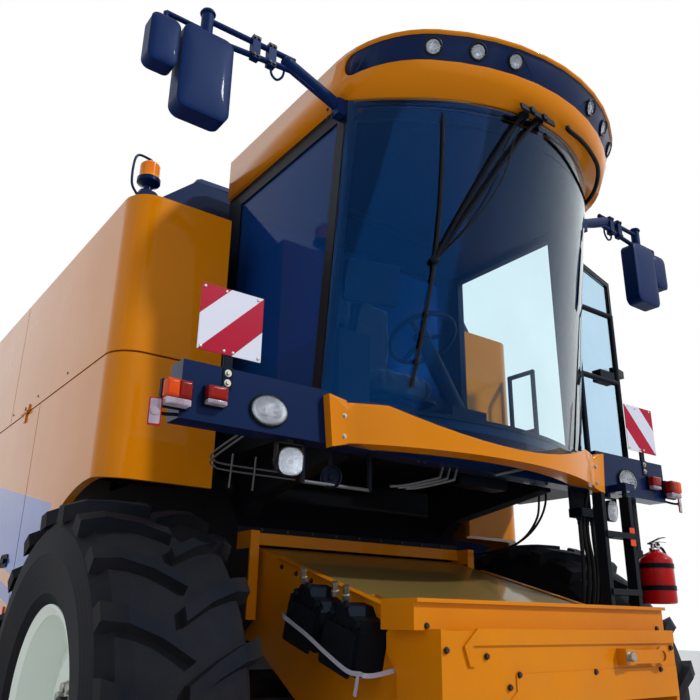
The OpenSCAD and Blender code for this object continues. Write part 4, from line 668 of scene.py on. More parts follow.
def build_materials():
    """Every finish of the machine, by name."""
    p = paint()
    # Blue specular tint for dark paints, rubber and plastics: a painted reflection of a blue sky, which the white
    # surroundings don't give
    sky_reflection_tint = (("Specular Tint", (0.25, 0.5, 1.0, 1.0)),)
    warm = (("Specular Tint", (1.0, 0.7, 0.25, 1.0)),)
    amber = srgb(176, 92, 2)
    finish("yellow_gloss", p.yellow, 0.26, coat=1.0, shade=amber, amount=0.3, bump=0.02, dust=(0.9, 2.4, 0.15),
           pattern=swoosh, constants=warm)
    # The feeder paint's top sheet carries painted shade and reflection in olive grey
    finish("feeder_paint", p.yellow, 0.3, coat=0.6, shade=amber, amount=0.5, bump=0.03, dust=(0.4, 1.7, 0.2),
           pattern=painted_shade_top_sheet, constants=warm)
    finish("dull_steel", srgb(96, 98, 102), 0.45, 0.4, amount=0.5, bump=0.1)
    finish("navy_satin", p.navy, 0.3, coat=0.5, amount=0.4, bump=0.03, dust=(0.4, 1.8, 0.12), constants=sky_reflection_tint)
    finish("black_satin", p.black, 0.45, coat=0.1, amount=0.5, bump=0.05, dust=(0.3, 1.6, 0.2), constants=sky_reflection_tint)
    finish("cab_black", srgb(10, 12, 17), 0.4, coat=0.15, amount=0.4, bump=0.04, constants=sky_reflection_tint)
    finish("moulded_black", srgb(15, 16, 20), 0.5, grain=420.0, amount=0.4, bump=0.25, constants=sky_reflection_tint)
    finish("cast_steel", srgb(128, 124, 116), 0.4, 0.85, shade=srgb(84, 78, 70), amount=0.7, bump=0.12,
           dust=(0.4, 2.2, 0.35))
    finish("bright_rod", srgb(205, 207, 210), 0.12, 1.0, amount=0.15)
    finish("zinc_bolt", srgb(160, 158, 150), 0.35, 0.9, amount=0.5, bump=0.1)
    finish("dark_bolt", srgb(46, 40, 34), 0.45, 0.6, amount=0.5, bump=0.1)
    for name, wheel, dusty in (("front_tyre", FRONT_WHEEL, (0.3, 2.4, 0.05)),
                               ("rear_tyre", REAR_WHEEL, (0.2, 1.6, 0.05))):
        finish(name, p.rubber, 0.62, shade=srgb(24, 24, 28), grain=300.0, amount=0.6, bump=0.35, dust=dusty,
               ribs=wheel_values(wheel), constants=sky_reflection_tint)
    finish("rim_white", p.rim, 0.35, coat=0.3, shade=srgb(222, 232, 222), amount=0.4, bump=0.02,
           dust=(0.1, 1.2, 0.05))
    finish("red_gloss", srgb(168, 12, 16), 0.25, coat=0.6, amount=0.3, bump=0.01)
    finish("red_lens", srgb(142, 20, 10), 0.12, coat=0.8, shade=srgb(80, 6, 6), patch=9.0, amount=0.6)
    finish("amber_lens", srgb(214, 72, 6), 0.12, coat=0.8, shade=srgb(170, 44, 4), patch=9.0, amount=0.5)
    finish("beacon_amber", srgb(244, 142, 12), 0.12, coat=0.8, shade=srgb(226, 84, 4), patch=14.0, amount=0.6)
    finish("pale_lens", srgb(170, 156, 172), 0.12, coat=0.8, shade=srgb(104, 92, 104), patch=22.0, amount=0.8)
    # The shell's navy is partly its own dark plastic and partly a painted reflection of a blue sky
    finish("mirror_shell", srgb(9, 30, 74), 0.42, coat=0.08, grain=420.0, amount=0.4, bump=0.1, constants=sky_reflection_tint)
    finish("mirror_chrome", srgb(226, 230, 236), 0.06, 1.0, amount=0.1)
    finish("lamp_housing", srgb(26, 27, 31), 0.4, grain=420.0, amount=0.4, bump=0.2)
    finish("facet_chrome", srgb(236, 238, 242), 0.1, 1.0, grain=60.0, amount=0.1, bump=0.8)
    finish("white_plastic", srgb(220, 224, 232), 0.35, amount=0.2, bump=0.02)
    finish("sign_face", srgb(206, 208, 222), 0.3, coat=0.1, amount=0.25, shade=srgb(180, 180, 196), pattern=stripes)
    finish("seat_cloth", srgb(38, 40, 46), 0.85, shade=srgb(24, 25, 30), grain=700.0, amount=0.7, bump=0.6,
           constants=(("Sheen Weight", 0.3),))
    finish("hose_rubber", srgb(16, 16, 18), 0.42, grain=240.0, amount=0.5, bump=0.15)
    finish("strap_grey", srgb(182, 178, 192), 0.6, shade=srgb(130, 126, 140), grain=500.0, amount=0.5, bump=0.3)
    clear("screen_glass", p.glass, sheen=p.sky, level=0.9)
    clear("cab_glass", srgb(52, 124, 210), ior=1.15, sheen=p.sky, veil=0.14)
    clear("door_tint", srgb(178, 214, 238), ior=1.3, sheen=p.sky, level=0.6)
    clear("prism_glass", srgb(240, 244, 250), ior=1.45, ripple=60.0)


class COMBINE_OT_stage(bpy.types.Operator):
    """Camera at the photo's view, pale floor, white surroundings and soft lamps"""
    bl_idname = "combine.stage"
    bl_label = "Stage, lamps and camera"

    def execute(self, context):
        build_camera()
        build_floor()
        build_world()
        build_lamps()
        context.scene.view_settings.view_transform = "Standard"
        return {"FINISHED"}


# The camera solved from the photo: its axes to the right, down and ahead, and its place in millimetres
CAMERA_RIGHT = (0.80344, -0.59522, 0.01422)
CAMERA_DOWN = (0.21354, 0.26578, -0.94009)
CAMERA_AHEAD = (0.55578, 0.75833, 0.34064)
CAMERA_PLACE = (-2661, -2540, 1260)


def build_camera():
    """The photo's camera."""
    data = bpy.data.cameras.new("camera")
    data.sensor_width = 36.0
    data.lens = 36.0 * 750 / 700
    data.clip_start, data.clip_end = 0.05, 200.0
    cam = add_object("camera", data)
    turn = Matrix((CAMERA_RIGHT, -Vector(CAMERA_DOWN), -Vector(CAMERA_AHEAD))).transposed()
    cam.matrix_world = Matrix.Translation(at(*CAMERA_PLACE)) @ turn.to_4x4()
    bpy.context.scene.camera = cam


def build_floor():
    """Pale floor that reflections and glass see too, and that keeps the machine's shadow."""
    made, tree, bsdf = new_material("floor_pale")
    tree.links.new(mix_colour(tree, object_noise(tree, 1.5, 3.0), (0.76, 0.76, 0.75, 1.0), (0.72, 0.72, 0.71, 1.0)),
                   bsdf.inputs["Base Color"])
    bsdf.inputs["Roughness"].default_value = 0.8
    bm = bmesh.new()
    bmesh.ops.create_grid(bm, x_segments=2, y_segments=2, size=40.0)
    mesh = to_mesh("floor", bm)
    mesh.materials.append(made)
    add_object("floor", mesh)


def build_world():
    """White for the camera, reflections and glass, and a soft blue sky for the rest."""
    world = bpy.data.worlds.new("studio")
    bpy.context.scene.world = world
    world.use_nodes = True
    tree = world.node_tree
    tree.nodes.clear()
    out = wire(tree, "ShaderNodeOutputWorld")
    soft = wire(tree, "ShaderNodeBackground", [("Color", (0.86, 0.93, 1.0, 1.0)), ("Strength", 0.42)])
    white = wire(tree, "ShaderNodeBackground", [("Color", (1.0, 1.0, 1.0, 1.0)), ("Strength", 1.0)])
    path = wire(tree, "ShaderNodeLightPath")
    seen = calc(tree, "MAXIMUM", path.outputs["Is Camera Ray"],
                calc(tree, "MAXIMUM", path.outputs["Is Glossy Ray"], path.outputs["Is Transmission Ray"]))
    mix = wire(tree, "ShaderNodeMixShader", [(0, seen), (1, soft.outputs[0]), (2, white.outputs[0])])
    tree.links.new(mix.outputs[0], out.inputs[0])


# Lamps: kind, power, size in metres or degrees, place and aim in metres
LAMPS = {
    "sun": ("SUN", 2.2, 3.0, (4.0, -8.0, 7.0), (0.0, -2.0, 1.5)),
    "fill_front": ("AREA", 120.0, 7.0, (-3.0, -13.0, 4.0), (0.0, -3.0, 2.0)),
    "fill_right": ("AREA", 110.0, 7.0, (-11.0, -2.0, 5.0), (0.0, -1.0, 1.8)),
}


def build_lamps():
    """Lamps at their places, aimed at the machine."""
    for name, (kind, energy, size, place, aim) in LAMPS.items():
        data = bpy.data.lights.new(name, kind)
        data.energy = energy
        if kind == "SUN":
            data.angle = math.radians(size)
        else:
            data.size = size
        lamp = add_object(name, data)
        turn = (Vector(place) - Vector(aim)).to_track_quat("Z", "Y").to_matrix().to_4x4()
        lamp.matrix_world = Matrix.Translation(place) @ turn


NODE_FINISH = {
    "yellow_gloss": ["side_panels", "shield_r", "shield_l", "engine_hood", "straw_hood", "cab_roof", "cab_trim",
                     "auger_tube"],
    "feeder_paint": ["mouth_frame", "feeder_housing", "header_frame", "straw_chopper"],
    "navy_satin": ["top_deck", "grain_tank", "tank_cover_r", "tank_cover_l", "front_beam", "roof_band"],
    "black_satin": ["main_frame", "front_axle", "thresher_body", "engine", "dust_screen", "cab_platform", "handrails",
                    "ladder", "lift_barrel_r", "lift_barrel_l", "rear_axle", "knuckle_r", "knuckle_l"],
    "cab_black": ["cab_frame", "door_frame"],
    "mirror_shell": ["mirrors"],
    "moulded_black": ["fuel_tank", "seat", "steering", "control_boxes"],
    "cab_glass": ["windscreen", "cab_glass"],
    "door_tint": ["door_glass"],
    "cast_steel": ["feeder_chain"],
    "bright_rod": ["lift_rod_r", "lift_rod_l"],
    "red_gloss": ["fire_extinguisher"],
    "white_plastic": ["clear_lamps"],
    "red_lens": ["marker_lamps"],
    "sign_face": ["warning_signs"],
    "front_tyre": ["tyre_fr", "tyre_fl"],
    "rear_tyre": ["tyre_rr", "tyre_rl"],
    "rim_white": ["rim_fr", "rim_fl", "rim_rr", "rim_rl"],
}


class COMBINE_OT_finishes(bpy.types.Operator):
    """Gives every node of the frame its paint, rubber, glass or metal"""
    bl_idname = "combine.finishes"
    bl_label = "Finishes"

    def execute(self, context):
        build_materials()
        for name, nodes in NODE_FINISH.items():
            for node in nodes:
                slots = NODES[node].data.materials
                slots.clear()
                slots.append(mat(name))
        return {"FINISHED"}


def bow_depth(x):
    """How far the windscreen's foot curves forward at a place across the cab."""
    return FOOT_DIP * max(0.0, 1 - (x / (0.75 * SCREEN_X)) ** 2)


def screen_point(u, v, inset=0.0):
    """A place on the windscreen's outer face: u from -1 to 1 across, v from 0 at its foot to 1."""
    x = u * SCREEN_X
    low = FLOOR - bow_depth(x)
    z = low + v * (SCREEN_TOP - low)
    bow = BOW_LOW + v * (BOW_TOP - BOW_LOW)
    lean = POST_LEAN * (z - FLOOR) / (POST_TOP - FLOOR)
    return (x, POST_FOOT_Y - lean - 13.6 - bow * (1 - u * u) + inset, z)


def screen_normal(u, v):
    """Direction that the windscreen's outer face looks at there, seen from above."""
    return Vector((screen_point(u + 0.01, v)[1] - screen_point(u - 0.01, v)[1], -0.02 * SCREEN_X, 0)).normalized()


def shell(bm, rows, thick):
    """A curved sheet: rows of places in millimetres, and the thickness that each place is set back along Y."""
    fronts = [[bm.verts.new(at(*p)) for p in row] for row in rows]
    backs = [[bm.verts.new(at(p[0], p[1] + thick, p[2])) for p in row] for row in rows]
    for j in range(len(rows) - 1):
        for i in range(len(rows[0]) - 1):
            bm.faces.new((fronts[j][i], fronts[j][i + 1], fronts[j + 1][i + 1], fronts[j + 1][i]))
            bm.faces.new((backs[j][i], backs[j + 1][i], backs[j + 1][i + 1], backs[j][i + 1]))
    last_row, last = len(rows) - 1, len(rows[0]) - 1
    rim = [(j, 0) for j in range(last_row)] + [(last_row, i) for i in range(last)]
    rim += [(j, last) for j in range(last_row, 0, -1)] + [(0, i) for i in range(last, 0, -1)]
    for (j, i), (m, n) in zip(rim, rim[1:] + rim[:1]):
        bm.faces.new((fronts[j][i], backs[j][i], backs[m][n], fronts[m][n]))


def ribbon(bm, spots, width, inset, thick):
    """A strip of a width in millimetres along (u, v) spots on the windscreen's inside."""
    row = [[], []]
    for k, (u, v) in enumerate(spots):
        a, b = spots[max(k - 1, 0)], spots[min(k + 1, len(spots) - 1)]
        here = Vector(screen_point(u, v, inset))
        run = (Vector(screen_point(*b, inset)) - Vector(screen_point(*a, inset))).normalized()
        side = run.cross(screen_normal(u, v)).normalized() * width / 2
        row[0].append(tuple(here - side))
        row[1].append(tuple(here + side))
    shell(bm, row, thick)


class COMBINE_OT_windscreen(bpy.types.Operator):
    """Bowed windscreen with its black border, the line printed inside it, wipers and washer hose"""
    bl_idname = "combine.windscreen"
    bl_label = "Windscreen and wipers"

    def execute(self, context):
        bm = bmesh.new()
        across = [-1 + 2 * i / 56 for i in range(57)]
        shell(bm, [[screen_point(u, j / 20) for u in across] for j in range(21)], 8)
        make_piece("windscreen_pane", bm, "screen_glass", "chassis", replaces=("windscreen",), smooth=60)
        wide = sizes().frit * 1000
        bm = bmesh.new()
        edge = wide / 2 / CAB_X
        for side in SIDES:
            ribbon(bm, [(side * (1 - edge), v / 16) for v in range(17)], wide, 9, 2.5)
        ribbon(bm, [(u * (1 - 2 * edge), 0.012) for u in across], wide * 0.9, 9, 2.5)
        ribbon(bm, [(u * (1 - 2 * edge), 0.985) for u in across], wide * 1.1, 9, 2.5)
        make_piece("windscreen_border", bm, "moulded_black", "chassis", smooth=60)
        bm = bmesh.new()
        top = [(-0.96 + 0.02 * k, 0.925) for k in range(34)]
        ribbon(bm, [(-0.96, 0.04), (-0.965, 0.3), (-0.965, 0.6), (-0.96, 0.9)] + top + [(-0.275, 0.94), (-0.27, 0.965)],
               18, 9, 2)
        top = [(0.04 + 0.02 * k, 0.925) for k in range(46)]
        ribbon(bm, [(0.03, 0.965), (0.035, 0.94)] + top + [(0.965, 0.6), (0.965, 0.04)], 18, 9, 2)
        make_piece("windscreen_line", bm, "moulded_black", "chassis", smooth=60)
        wipers()
        return {"FINISHED"}


def off_glass(x, z, gap):
    """A place a gap in front of the windscreen, by its width and height."""
    u = x / SCREEN_X
    low = FLOOR - bow_depth(x)
    place = screen_point(u, (z - low) / (SCREEN_TOP - low))
    return tuple(Vector(place) + screen_normal(u, 0.5) * gap)


def wipers():
    """Parked blade with its clips, two arms on their pivots, washer hose and bracket."""
    bm = bmesh.new()
    heights = [3560 - 1310 * k / 24 for k in range(25)]
    blade_x = [-538 + 60 * math.sin(math.pi * k / 24) * 0.6 for k in range(25)]
    sweep(bm, [at(*off_glass(x, z, 6)) for x, z in zip(blade_x, heights)], 0.005, 6)
    sweep(bm, [at(*off_glass(x, z, 15)) for x, z in zip(blade_x, heights)], 0.008, 8)
    for k in (3, 8, 13, 18, 22):
        x, z = blade_x[k], heights[k]
        tube(bm, [off_glass(x, z + 22, 14), off_glass(x, z, 26), off_glass(x, z - 22, 14)], 6, 8, 4)
    make_piece("wiper_blade", bm, "hose_rubber", "chassis")
    bm = bmesh.new()
    for (top_x, low_x) in ((-68, -500), (-158, -506)):
        path = []
        for k in range(17):
            t = k / 16
            path.append(at(*off_glass(top_x + (low_x - top_x) * t ** 0.85, 3625 - 790 * t, 34 - 8 * t)))
        sweep(bm, path, 0.01, 10)
    x, z = -503, 2835
    lathe(bm, [(0, 0), (22, 0), (22, 14), (14, 20), (0, 20)], facing((-0.5, -1, 0), off_glass(x, z, 16)), 20)
    for k in range(2):
        place = off_glass(-68 - 90 * k, 3622, 22)
        lathe(bm, [(0, -10), (24, -10), (24, 16), (18, 24), (0, 24)], facing((0, -1, -0.2), place), 20)
    make_piece("wiper_arms", bm, "moulded_black", "chassis")
    bm = bmesh.new()
    tube(bm, [off_glass(-130, 3640, 24), off_glass(-200, 3480, 36), off_glass(-235, 3290, 42),
              off_glass(-340, 3060, 36), off_glass(-480, 2860, 30)], 4, 8, 6)
    make_piece("washer_hose", bm, "hose_rubber", "chassis")
    bm = bmesh.new()
    prism(bm, rounded(250, 40, 10), facing((0, -1, 0.2), (-108, -590, 3622)), 10)
    for x in (-158, -68):
        prism(bm, rounded(30, 34, 6), facing((0, -1, 0.1), (x, -594, 3620)), 18)
    make_piece("wiper_bracket", bm, "moulded_black", "chassis", bevel=2)


def oval(width, height):
    """Outline of an ellipse about its middle."""
    angles = [2 * math.pi * k / 36 for k in range(36)]
    return [(width / 2 * math.cos(a), height / 2 * math.sin(a)) for a in angles]


def dish(bm, outlines, place):
    """A solid through outlines of equal count: (outline, height along the place's Z), from the back to the front."""
    rings = [[bm.verts.new(place @ (Vector((x, y, z)) / 1000)) for x, y in outline] for outline, z in outlines]
    for a, b in zip(rings, rings[1:]):
        for k in range(len(a)):
            n = (k + 1) % len(a)
            bm.faces.new((a[k], a[n], b[n], b[k]))
    bm.faces.new(rings[0])
    bm.faces.new(rings[-1])


class COMBINE_OT_lamps(bpy.types.Operator):
    """Oval headlamps, square work lamps on yokes, and round lamps in the roof's band"""
    bl_idname = "combine.lamps"
    bl_label = "Lamps"

    def execute(self, context):
        bodies, mirrors, bulbs, lenses = (bmesh.new() for _ in range(4))
        for side in SIDES:
            place = facing((0, -1, 0), (side * LAMP_X, -0.3, LAMP_Z))
            dish(bodies, [(oval(178, 136), -1), (oval(178, 136), 7), (oval(170, 128), 13), (oval(164, 122), 11),
                          (oval(164, 122), 1)], place)
            dish(mirrors, [(oval(163, 121), 1), (oval(162, 120), 6), (oval(128, 92), 4.5), (oval(60, 46), 2.4),
                           (oval(30, 26), 2.2)], place)
            dish(lenses, [(oval(163.5, 121.5), 9), (oval(163.5, 121.5), 12), (oval(130, 96), 20), (oval(60, 40), 24)],
                 place)
            for off in (-26, 30):
                cup = place @ Matrix.Translation((off / 1000, 0, 0.002))
                lathe(mirrors, [(0, 0), (21, 0), (24, 6), (19, 5), (8, 2), (0, 2)], cup, 24)
                lathe(bulbs, [(0, 1), (7, 1), (7, 9), (4, 13), (0, 14)], cup, 16)
            self.work_lamp(side, bodies, mirrors, bulbs, lenses)
        for x in ROOF_LAMPS:
            self.roof_lamp(x, bodies, mirrors, bulbs, lenses)
        make_piece("lamp_housings", bodies, "lamp_housing", "chassis", replaces=("clear_lamps",),
                   smooth=35)
        make_piece("lamp_reflectors", mirrors, "facet_chrome", "chassis", smooth=60)
        make_piece("lamp_bulbs", bulbs, "white_plastic", "chassis", smooth=60)
        make_piece("lamp_lenses", lenses, "prism_glass", "chassis", smooth=40)
        return {"FINISHED"}

    def work_lamp(self, side, bodies, mirrors, bulbs, lenses):
        """Square lamp with cooling fins on its yoke under the beam."""
        x, y, z = side * WORK_LAMP_X, 36, WORK_LAMP_Z
        place = facing((side * 0.12, -1, -0.1), (x, y, z))
        dish(bodies, [(rounded(70, 66, 20), -62), (rounded(98, 98, 34), -40), (rounded(116, 118, 44), -6),
                      (rounded(116, 118, 44), 12), (rounded(110, 112, 42), 14), (rounded(108, 110, 41), 4)], place)
        for k in range(5):
            fin = place @ Matrix.Translation((0, (-32 + 16 * k) / 1000, -0.052))
            prism(bodies, rounded(84, 5, 2), fin @ Matrix.Translation((0, 0, -0.014)), 22)
        dish(mirrors, [(rounded(107, 109, 40), 4.5), (rounded(106, 108, 40), 9), (rounded(60, 60, 24), 6),
                       (rounded(26, 24, 10), 5)], place)
        lathe(bulbs, [(0, 5), (10, 5), (10, 9), (0, 10)], place, 16)
        dish(lenses, [(rounded(109, 111, 41), 10), (rounded(109, 111, 41), 16), (rounded(88, 90, 34), 20)], place)
        for k in SIDES:
            box(bodies, (x + k * 60 - 3, y - 2, z - 16), (x + k * 60 + 3, y + 26, z + 74))
            lathe(bodies, [(0, 0), (11, 0), (11, 7), (0, 7)], facing((k, 0, 0), (x + k * 62, y + 12, z)), 6)
        box(bodies, (x - 63, y - 2, z + 70), (x + 63, y + 26, z + 76))
        box(bodies, (x - 14, y, z + 76), (x + 14, y + 24, BEAM_LOW - 0.3))

    def roof_lamp(self, x, bodies, mirrors, bulbs, lenses):
        """Round lamp in the roof's bowed band, tilted with it."""
        turn = math.asin(x / FRONT_ARC)
        place = (Matrix.Translation(at(0, FRONT_ARC - 700 + 28.1, BAND_MIDDLE)) @ Matrix.Rotation(turn, 4, "Z")
                 @ Matrix.Translation((0, -FRONT_ARC / 1000, 0)) @ Matrix.Rotation(math.radians(90 + 25.1), 4, "X"))
        lathe(bodies, [(0, -47), (39.5, -47), (39.5, -10), (44, -8), (45, -2), (41, 1), (36, -4), (35, -30), (0, -32)],
              place, 40)
        lathe(mirrors, [(0, -31), (34.5, -29), (34.5, -12), (33, -10), (24, -24), (10, -29), (0, -29.5)], place, 40)
        lathe(bulbs, [(0, -29), (6, -29), (6, -18), (3, -15), (0, -15)], place, 16)
        lathe(lenses, [(0, -9), (35.5, -9), (35.5, -5), (24, -1), (0, 1)], place, 40)


def bowed_lens(bm, low, high, bulge):
    """A lens with rounded edges that fills a box and stands forward along -Y."""
    rim = rounded(high[0] - low[0], high[2] - low[2], 6, 4)
    middle = ((low[0] + high[0]) / 2, high[1], (low[2] + high[2]) / 2)
    deep = high[1] - low[1]
    outlines = [(rim, 0), (rim, deep - bulge)]
    for s in range(1, 5):
        smaller = [(x * (1 - 0.1 * s), y * (1 - 0.1 * s)) for x, y in rim]
        outlines.append((smaller, deep - bulge + bulge * math.sin(s * math.pi / 8)))
    dish(bm, outlines, facing((0, -1, 0), middle))


class COMBINE_OT_markers(bpy.types.Operator):
    """Marker lamps in red, amber and clear, round reflectors, and the amber beacon"""
    bl_idname = "combine.markers"
    bl_label = "Marker lamps and beacon"

    def execute(self, context):
        cases, red, amber, pale, frames = (bmesh.new() for _ in range(5))
        for side in SIDES:
            def spot(x, y, z):
                return (side * x, y, z)
            # Inner lamp: red above a clear strip; outer lamp: red and amber beside each other above a clear strip
            for (x0, x1), (z0, z1), front, back, paired in (((1400, 1490), (2020, 2100), -50, -14, False),
                                                            ((1556, 1664), (1985, 2090), -70, -22, True)):
                left, right = sorted((side * x0, side * x1))
                box(cases, (left, back, z0), (right, -0.3, z1))
                split = z0 + (z1 - z0) * 0.3
                if paired:
                    half = (left + right) / 2
                    (a, b), (c, d) = [(left + 4, half), (half, right - 4)][::side]
                    bowed_lens(red, (a, front, split + 1), (b - 0.5, back + 1, z1 - 4), 8)
                    bowed_lens(amber, (c + 0.5, front, split + 1), (d, back + 1, z1 - 4), 8)
                else:
                    bowed_lens(red, (left + 4, front, split + 1), (right - 4, back + 1, z1 - 4), 8)
                bowed_lens(pale, (left + 4, front + 4, z0 + 4), (right - 4, back + 1, split - 1), 6)
            # Outer lamp's arm, and the reflector below it in its red frame
            arm = sorted((side * 1540, side * 1600))
            box(cases, (arm[0], -22, 2000), (arm[1], 12, 2075))
            tube(cases, [spot(1575, 20, 1975), spot(1640, -6, 1962), spot(1668, -24, 1960)], 7, 8, 4)
            place = facing((side * 0.25, -1, 0), spot(1682, -24, 1960))
            prism(frames, rounded(48, 104, 6), place, 6)
            lathe(cases, [(0, -8), (12, -8), (12, 0), (0, 0)], place, 16)
            prism(pale, rounded(38, 92, 5), place @ Matrix.Translation((0, 0, 0.0062)), 2)
            lathe(pale, [(0, 8), (16, 8), (15, 11), (0, 12.5)], place, 20)
        make_piece("marker_cases", cases, "moulded_black", "chassis", replaces=("marker_lamps",),
                   bevel=1.5)
        make_piece("marker_red", red, "red_lens", "chassis", smooth=50)
        make_piece("marker_amber", amber, "amber_lens", "chassis", smooth=50)
        make_piece("marker_clear", pale, "pale_lens", "chassis", smooth=50)
        make_piece("reflector_frames", frames, "red_gloss", "chassis", bevel=1.5)
        beacon()
        return {"FINISHED"}


def beacon():
    """Amber beacon on a dark bracket, inside its guard loop."""
    def spot(x, y, z):
        return (BEACON_X + x, BEACON_Y + y, z)
    foot = facing((0, 0, 1), spot(0, 0, PANEL_TOP))
    bm = bmesh.new()
    dish(bm, [(rounded(150, 120, 16), 0.3), (rounded(150, 120, 16), 60), (rounded(120, 96, 20), 96),
              (rounded(96, 84, 30), 120)], foot)
    lathe(bm, [(0, 118), (24, 118), (22, 160), (60, 178), (63, 182), (63, 204), (57, 208), (0, 208)], foot, 40)
    tube(bm, [spot(-62, -12, 3390), spot(-96, -20, 3440), spot(-98, -20, 3560), spot(-78, -16, 3622),
              spot(-20, 0, 3634), spot(8, 0, 3626)], 7, 10, 6)
    make_piece("beacon_base", bm, "navy_satin", "chassis", smooth=35)
    bm = bmesh.new()
    lathe(bm, [(0, 208.5), (56, 208.5), (56, 214)] + [(54 - 2 * (k % 2), 216 + 5 * k) for k in range(15)]
          + [(50, 294), (40, 304), (24, 310), (0, 312)], foot, 48)
    make_piece("beacon_dome", bm, "beacon_amber", "chassis", smooth=50)


class COMBINE_OT_signs(bpy.types.Operator):
    """Striped width signs with riveted edges, each on a post bolted to the beam"""
    bl_idname = "combine.signs"
    bl_label = "Striped signs"

    def execute(self, context):
        faces, posts = bmesh.new(), bmesh.new()
        rivets, bolts = [], []
        for side in SIDES:
            x = side * SIGN_X
            prism(faces, rounded(SIGN_W, SIGN_W, 4), facing((0, -1, 0), (x, 0, SIGN_Z)), 4)
            prism(posts, rounded(40, 12, 3), facing((0, 0, 1), (x, 6.5, BEAM_TOP + 0.3)), SIGN_Z + 62 - BEAM_TOP)
            prism(posts, rounded(44, 92, 4), facing((0, -1, 0), (x, -0.3, 2148)), 4)
            half = SIGN_W / 2 - 14
            spots = [(-half, half), (-0.25 * half, half), (0.9 * half, half), (-half, -half), (-26, -half), (14, -half),
                     (half, -half)]
            rivets += [((x + dx, -4.5, SIGN_Z + dz), (0, -1, 0)) for dx, dz in spots]
            bolts += [((x, -5, z), (0, -1, 0)) for z in (2168, 2128)]
        make_piece("sign_faces", faces, "sign_face", "chassis", replaces=("warning_signs",), bevel=0.8)
        make_piece("sign_posts", posts, "cab_black", "chassis", bevel=1)
        grow("sign_rivets", "rivets", rivets, "zinc_bolt", "chassis", "bare_steel", width=0.015)
        grow("sign_bolts", "bolts", bolts, "zinc_bolt", "chassis", "bare_steel", width=0.015, washer=1.7)
        return {"FINISHED"}


class COMBINE_OT_mirrors(bpy.types.Operator):
    """Mirror panes, their rims and joints, and the cable that hangs below the arm"""
    bl_idname = "combine.mirrors"
    bl_label = "Mirror panes and arms"

    def execute(self, context):
        panes, rims, bolts = bmesh.new(), bmesh.new(), []
        for side in SIDES:
            def spot(x, y, z):
                return (side * x, y, ARM_Z + z)
            for x, z, w, h, r, y in ((MIRROR_X, 3472, 218, 408, 38, 45.3), (1815, 3550, 112, 222, 28, 35.3)):
                place = facing((0, 1, 0), (side * x, y, z))
                prism(panes, rounded(w, h, r), place, 2)
                rim = rounded(w + 18, h + 18, r + 8)
                dish(rims, [(rim, 0), (rim, 5), (rounded(w + 4, h + 4, r), 8)], place)
                dish(rims, [(rounded(w * s + 22, h * s + 22, r + 8), 14 * math.sqrt(1 - s * s))
                            for s in (0.995, 0.97, 0.92, 0.84, 0.7, 0.5)], facing((0, -1, 0), (side * x, -y, z)))
            lathe(rims, [(0, -4), (38, -4), (42, 4), (42, 30), (34, 36), (0, 36)],
                  facing((0, 0, 1), spot(MIRROR_X, 0, -92)), 28)
            lathe(rims, [(0, 0), (34, 0), (36, 6), (30, 18), (0, 22)], facing((0, 0, 1), spot(MIRROR_X, 0, 74)), 28)
            tube(rims, [spot(1225, -24, -26), spot(1232, -20, -78), spot(1262, -20, -112), spot(1292, -22, -96),
                        spot(1300, -24, -52)], 6, 8, 6)
            tube(rims, [spot(985, -46, -128), spot(1080, -50, -96), spot(1180, -42, -52), spot(1225, -36, -30)],
                 5, 8, 5)
            bolts += [(spot(x + dx, -41, dz), (0, -1, 0)) for x in (1300, 1385) for dx in (-11, 11) for dz in (-48, 48)]
            bolts += [((side * (CAB_X + 49), y, z), (side, 0, 0)) for y in (-32, 4) for z in (3574, 3622)]
        make_piece("mirror_panes", panes, "mirror_chrome", "chassis", smooth=20)
        make_piece("mirror_rims", rims, "mirror_shell", "chassis", smooth=45)
        grow("mirror_bolts", "bolts", bolts, "dark_bolt", "chassis", "bare_steel", width=0.013)
        return {"FINISHED"}


def cushion(name, low, high, swell, seams):
    """A crowned pad between two corners in millimetres: a cloth simulation swells it from a smaller shape."""
    low, high = at(*low), at(*high)
    bm = bmesh.new()
    middle, size = (low + high) / 2, (high - low) * 0.88
    bmesh.ops.create_cube(bm, size=1.0)
    bmesh.ops.subdivide_edges(bm, edges=bm.edges, cuts=7, use_grid_fill=True)
    for v in bm.verts:
        p = v.co * 2
        pull = 1 - 0.06 * (abs(p.x * p.y) + abs(p.y * p.z) + abs(p.x * p.z))
        v.co = middle + v.co * size * pull
    obj = add_object(name, to_mesh(name, bm))
    remesh = obj.modifiers.new("voxels", "REMESH")
    remesh.mode, remesh.voxel_size = "VOXEL", 0.009
    swollen = bake(obj)
    start = [v.co.copy() for v in swollen.vertices]
    cloth = obj.modifiers.new("swell", "CLOTH")
    cloth.settings.use_pressure = True
    cloth.settings.uniform_pressure_force = 4
    cloth.settings.effector_weights.gravity = 0
    scene = bpy.context.scene
    for f in range(1, 21):
        scene.frame_set(f)
    swollen = bake(obj)
    scene.frame_set(1)
    for v, home in zip(swollen.vertices, start):
        step = v.co - home
        if step.length > swell / 1000:
            v.co = home + step * (swell / 1000 / step.length)
    for v in swollen.vertices:
        for axis in range(3):
            v.co[axis] = min(max(v.co[axis], low[axis]), high[axis])
        for axis, spot, wide, deep in seams:
            reach = (v.co[axis] - at(spot, spot, spot)[axis]) * 1000 / wide
            if abs(reach) < 3:
                v.co += (middle - v.co) * deep / 1000 * math.exp(-reach * reach) / max((middle - v.co).length, 0.01)
    return obj


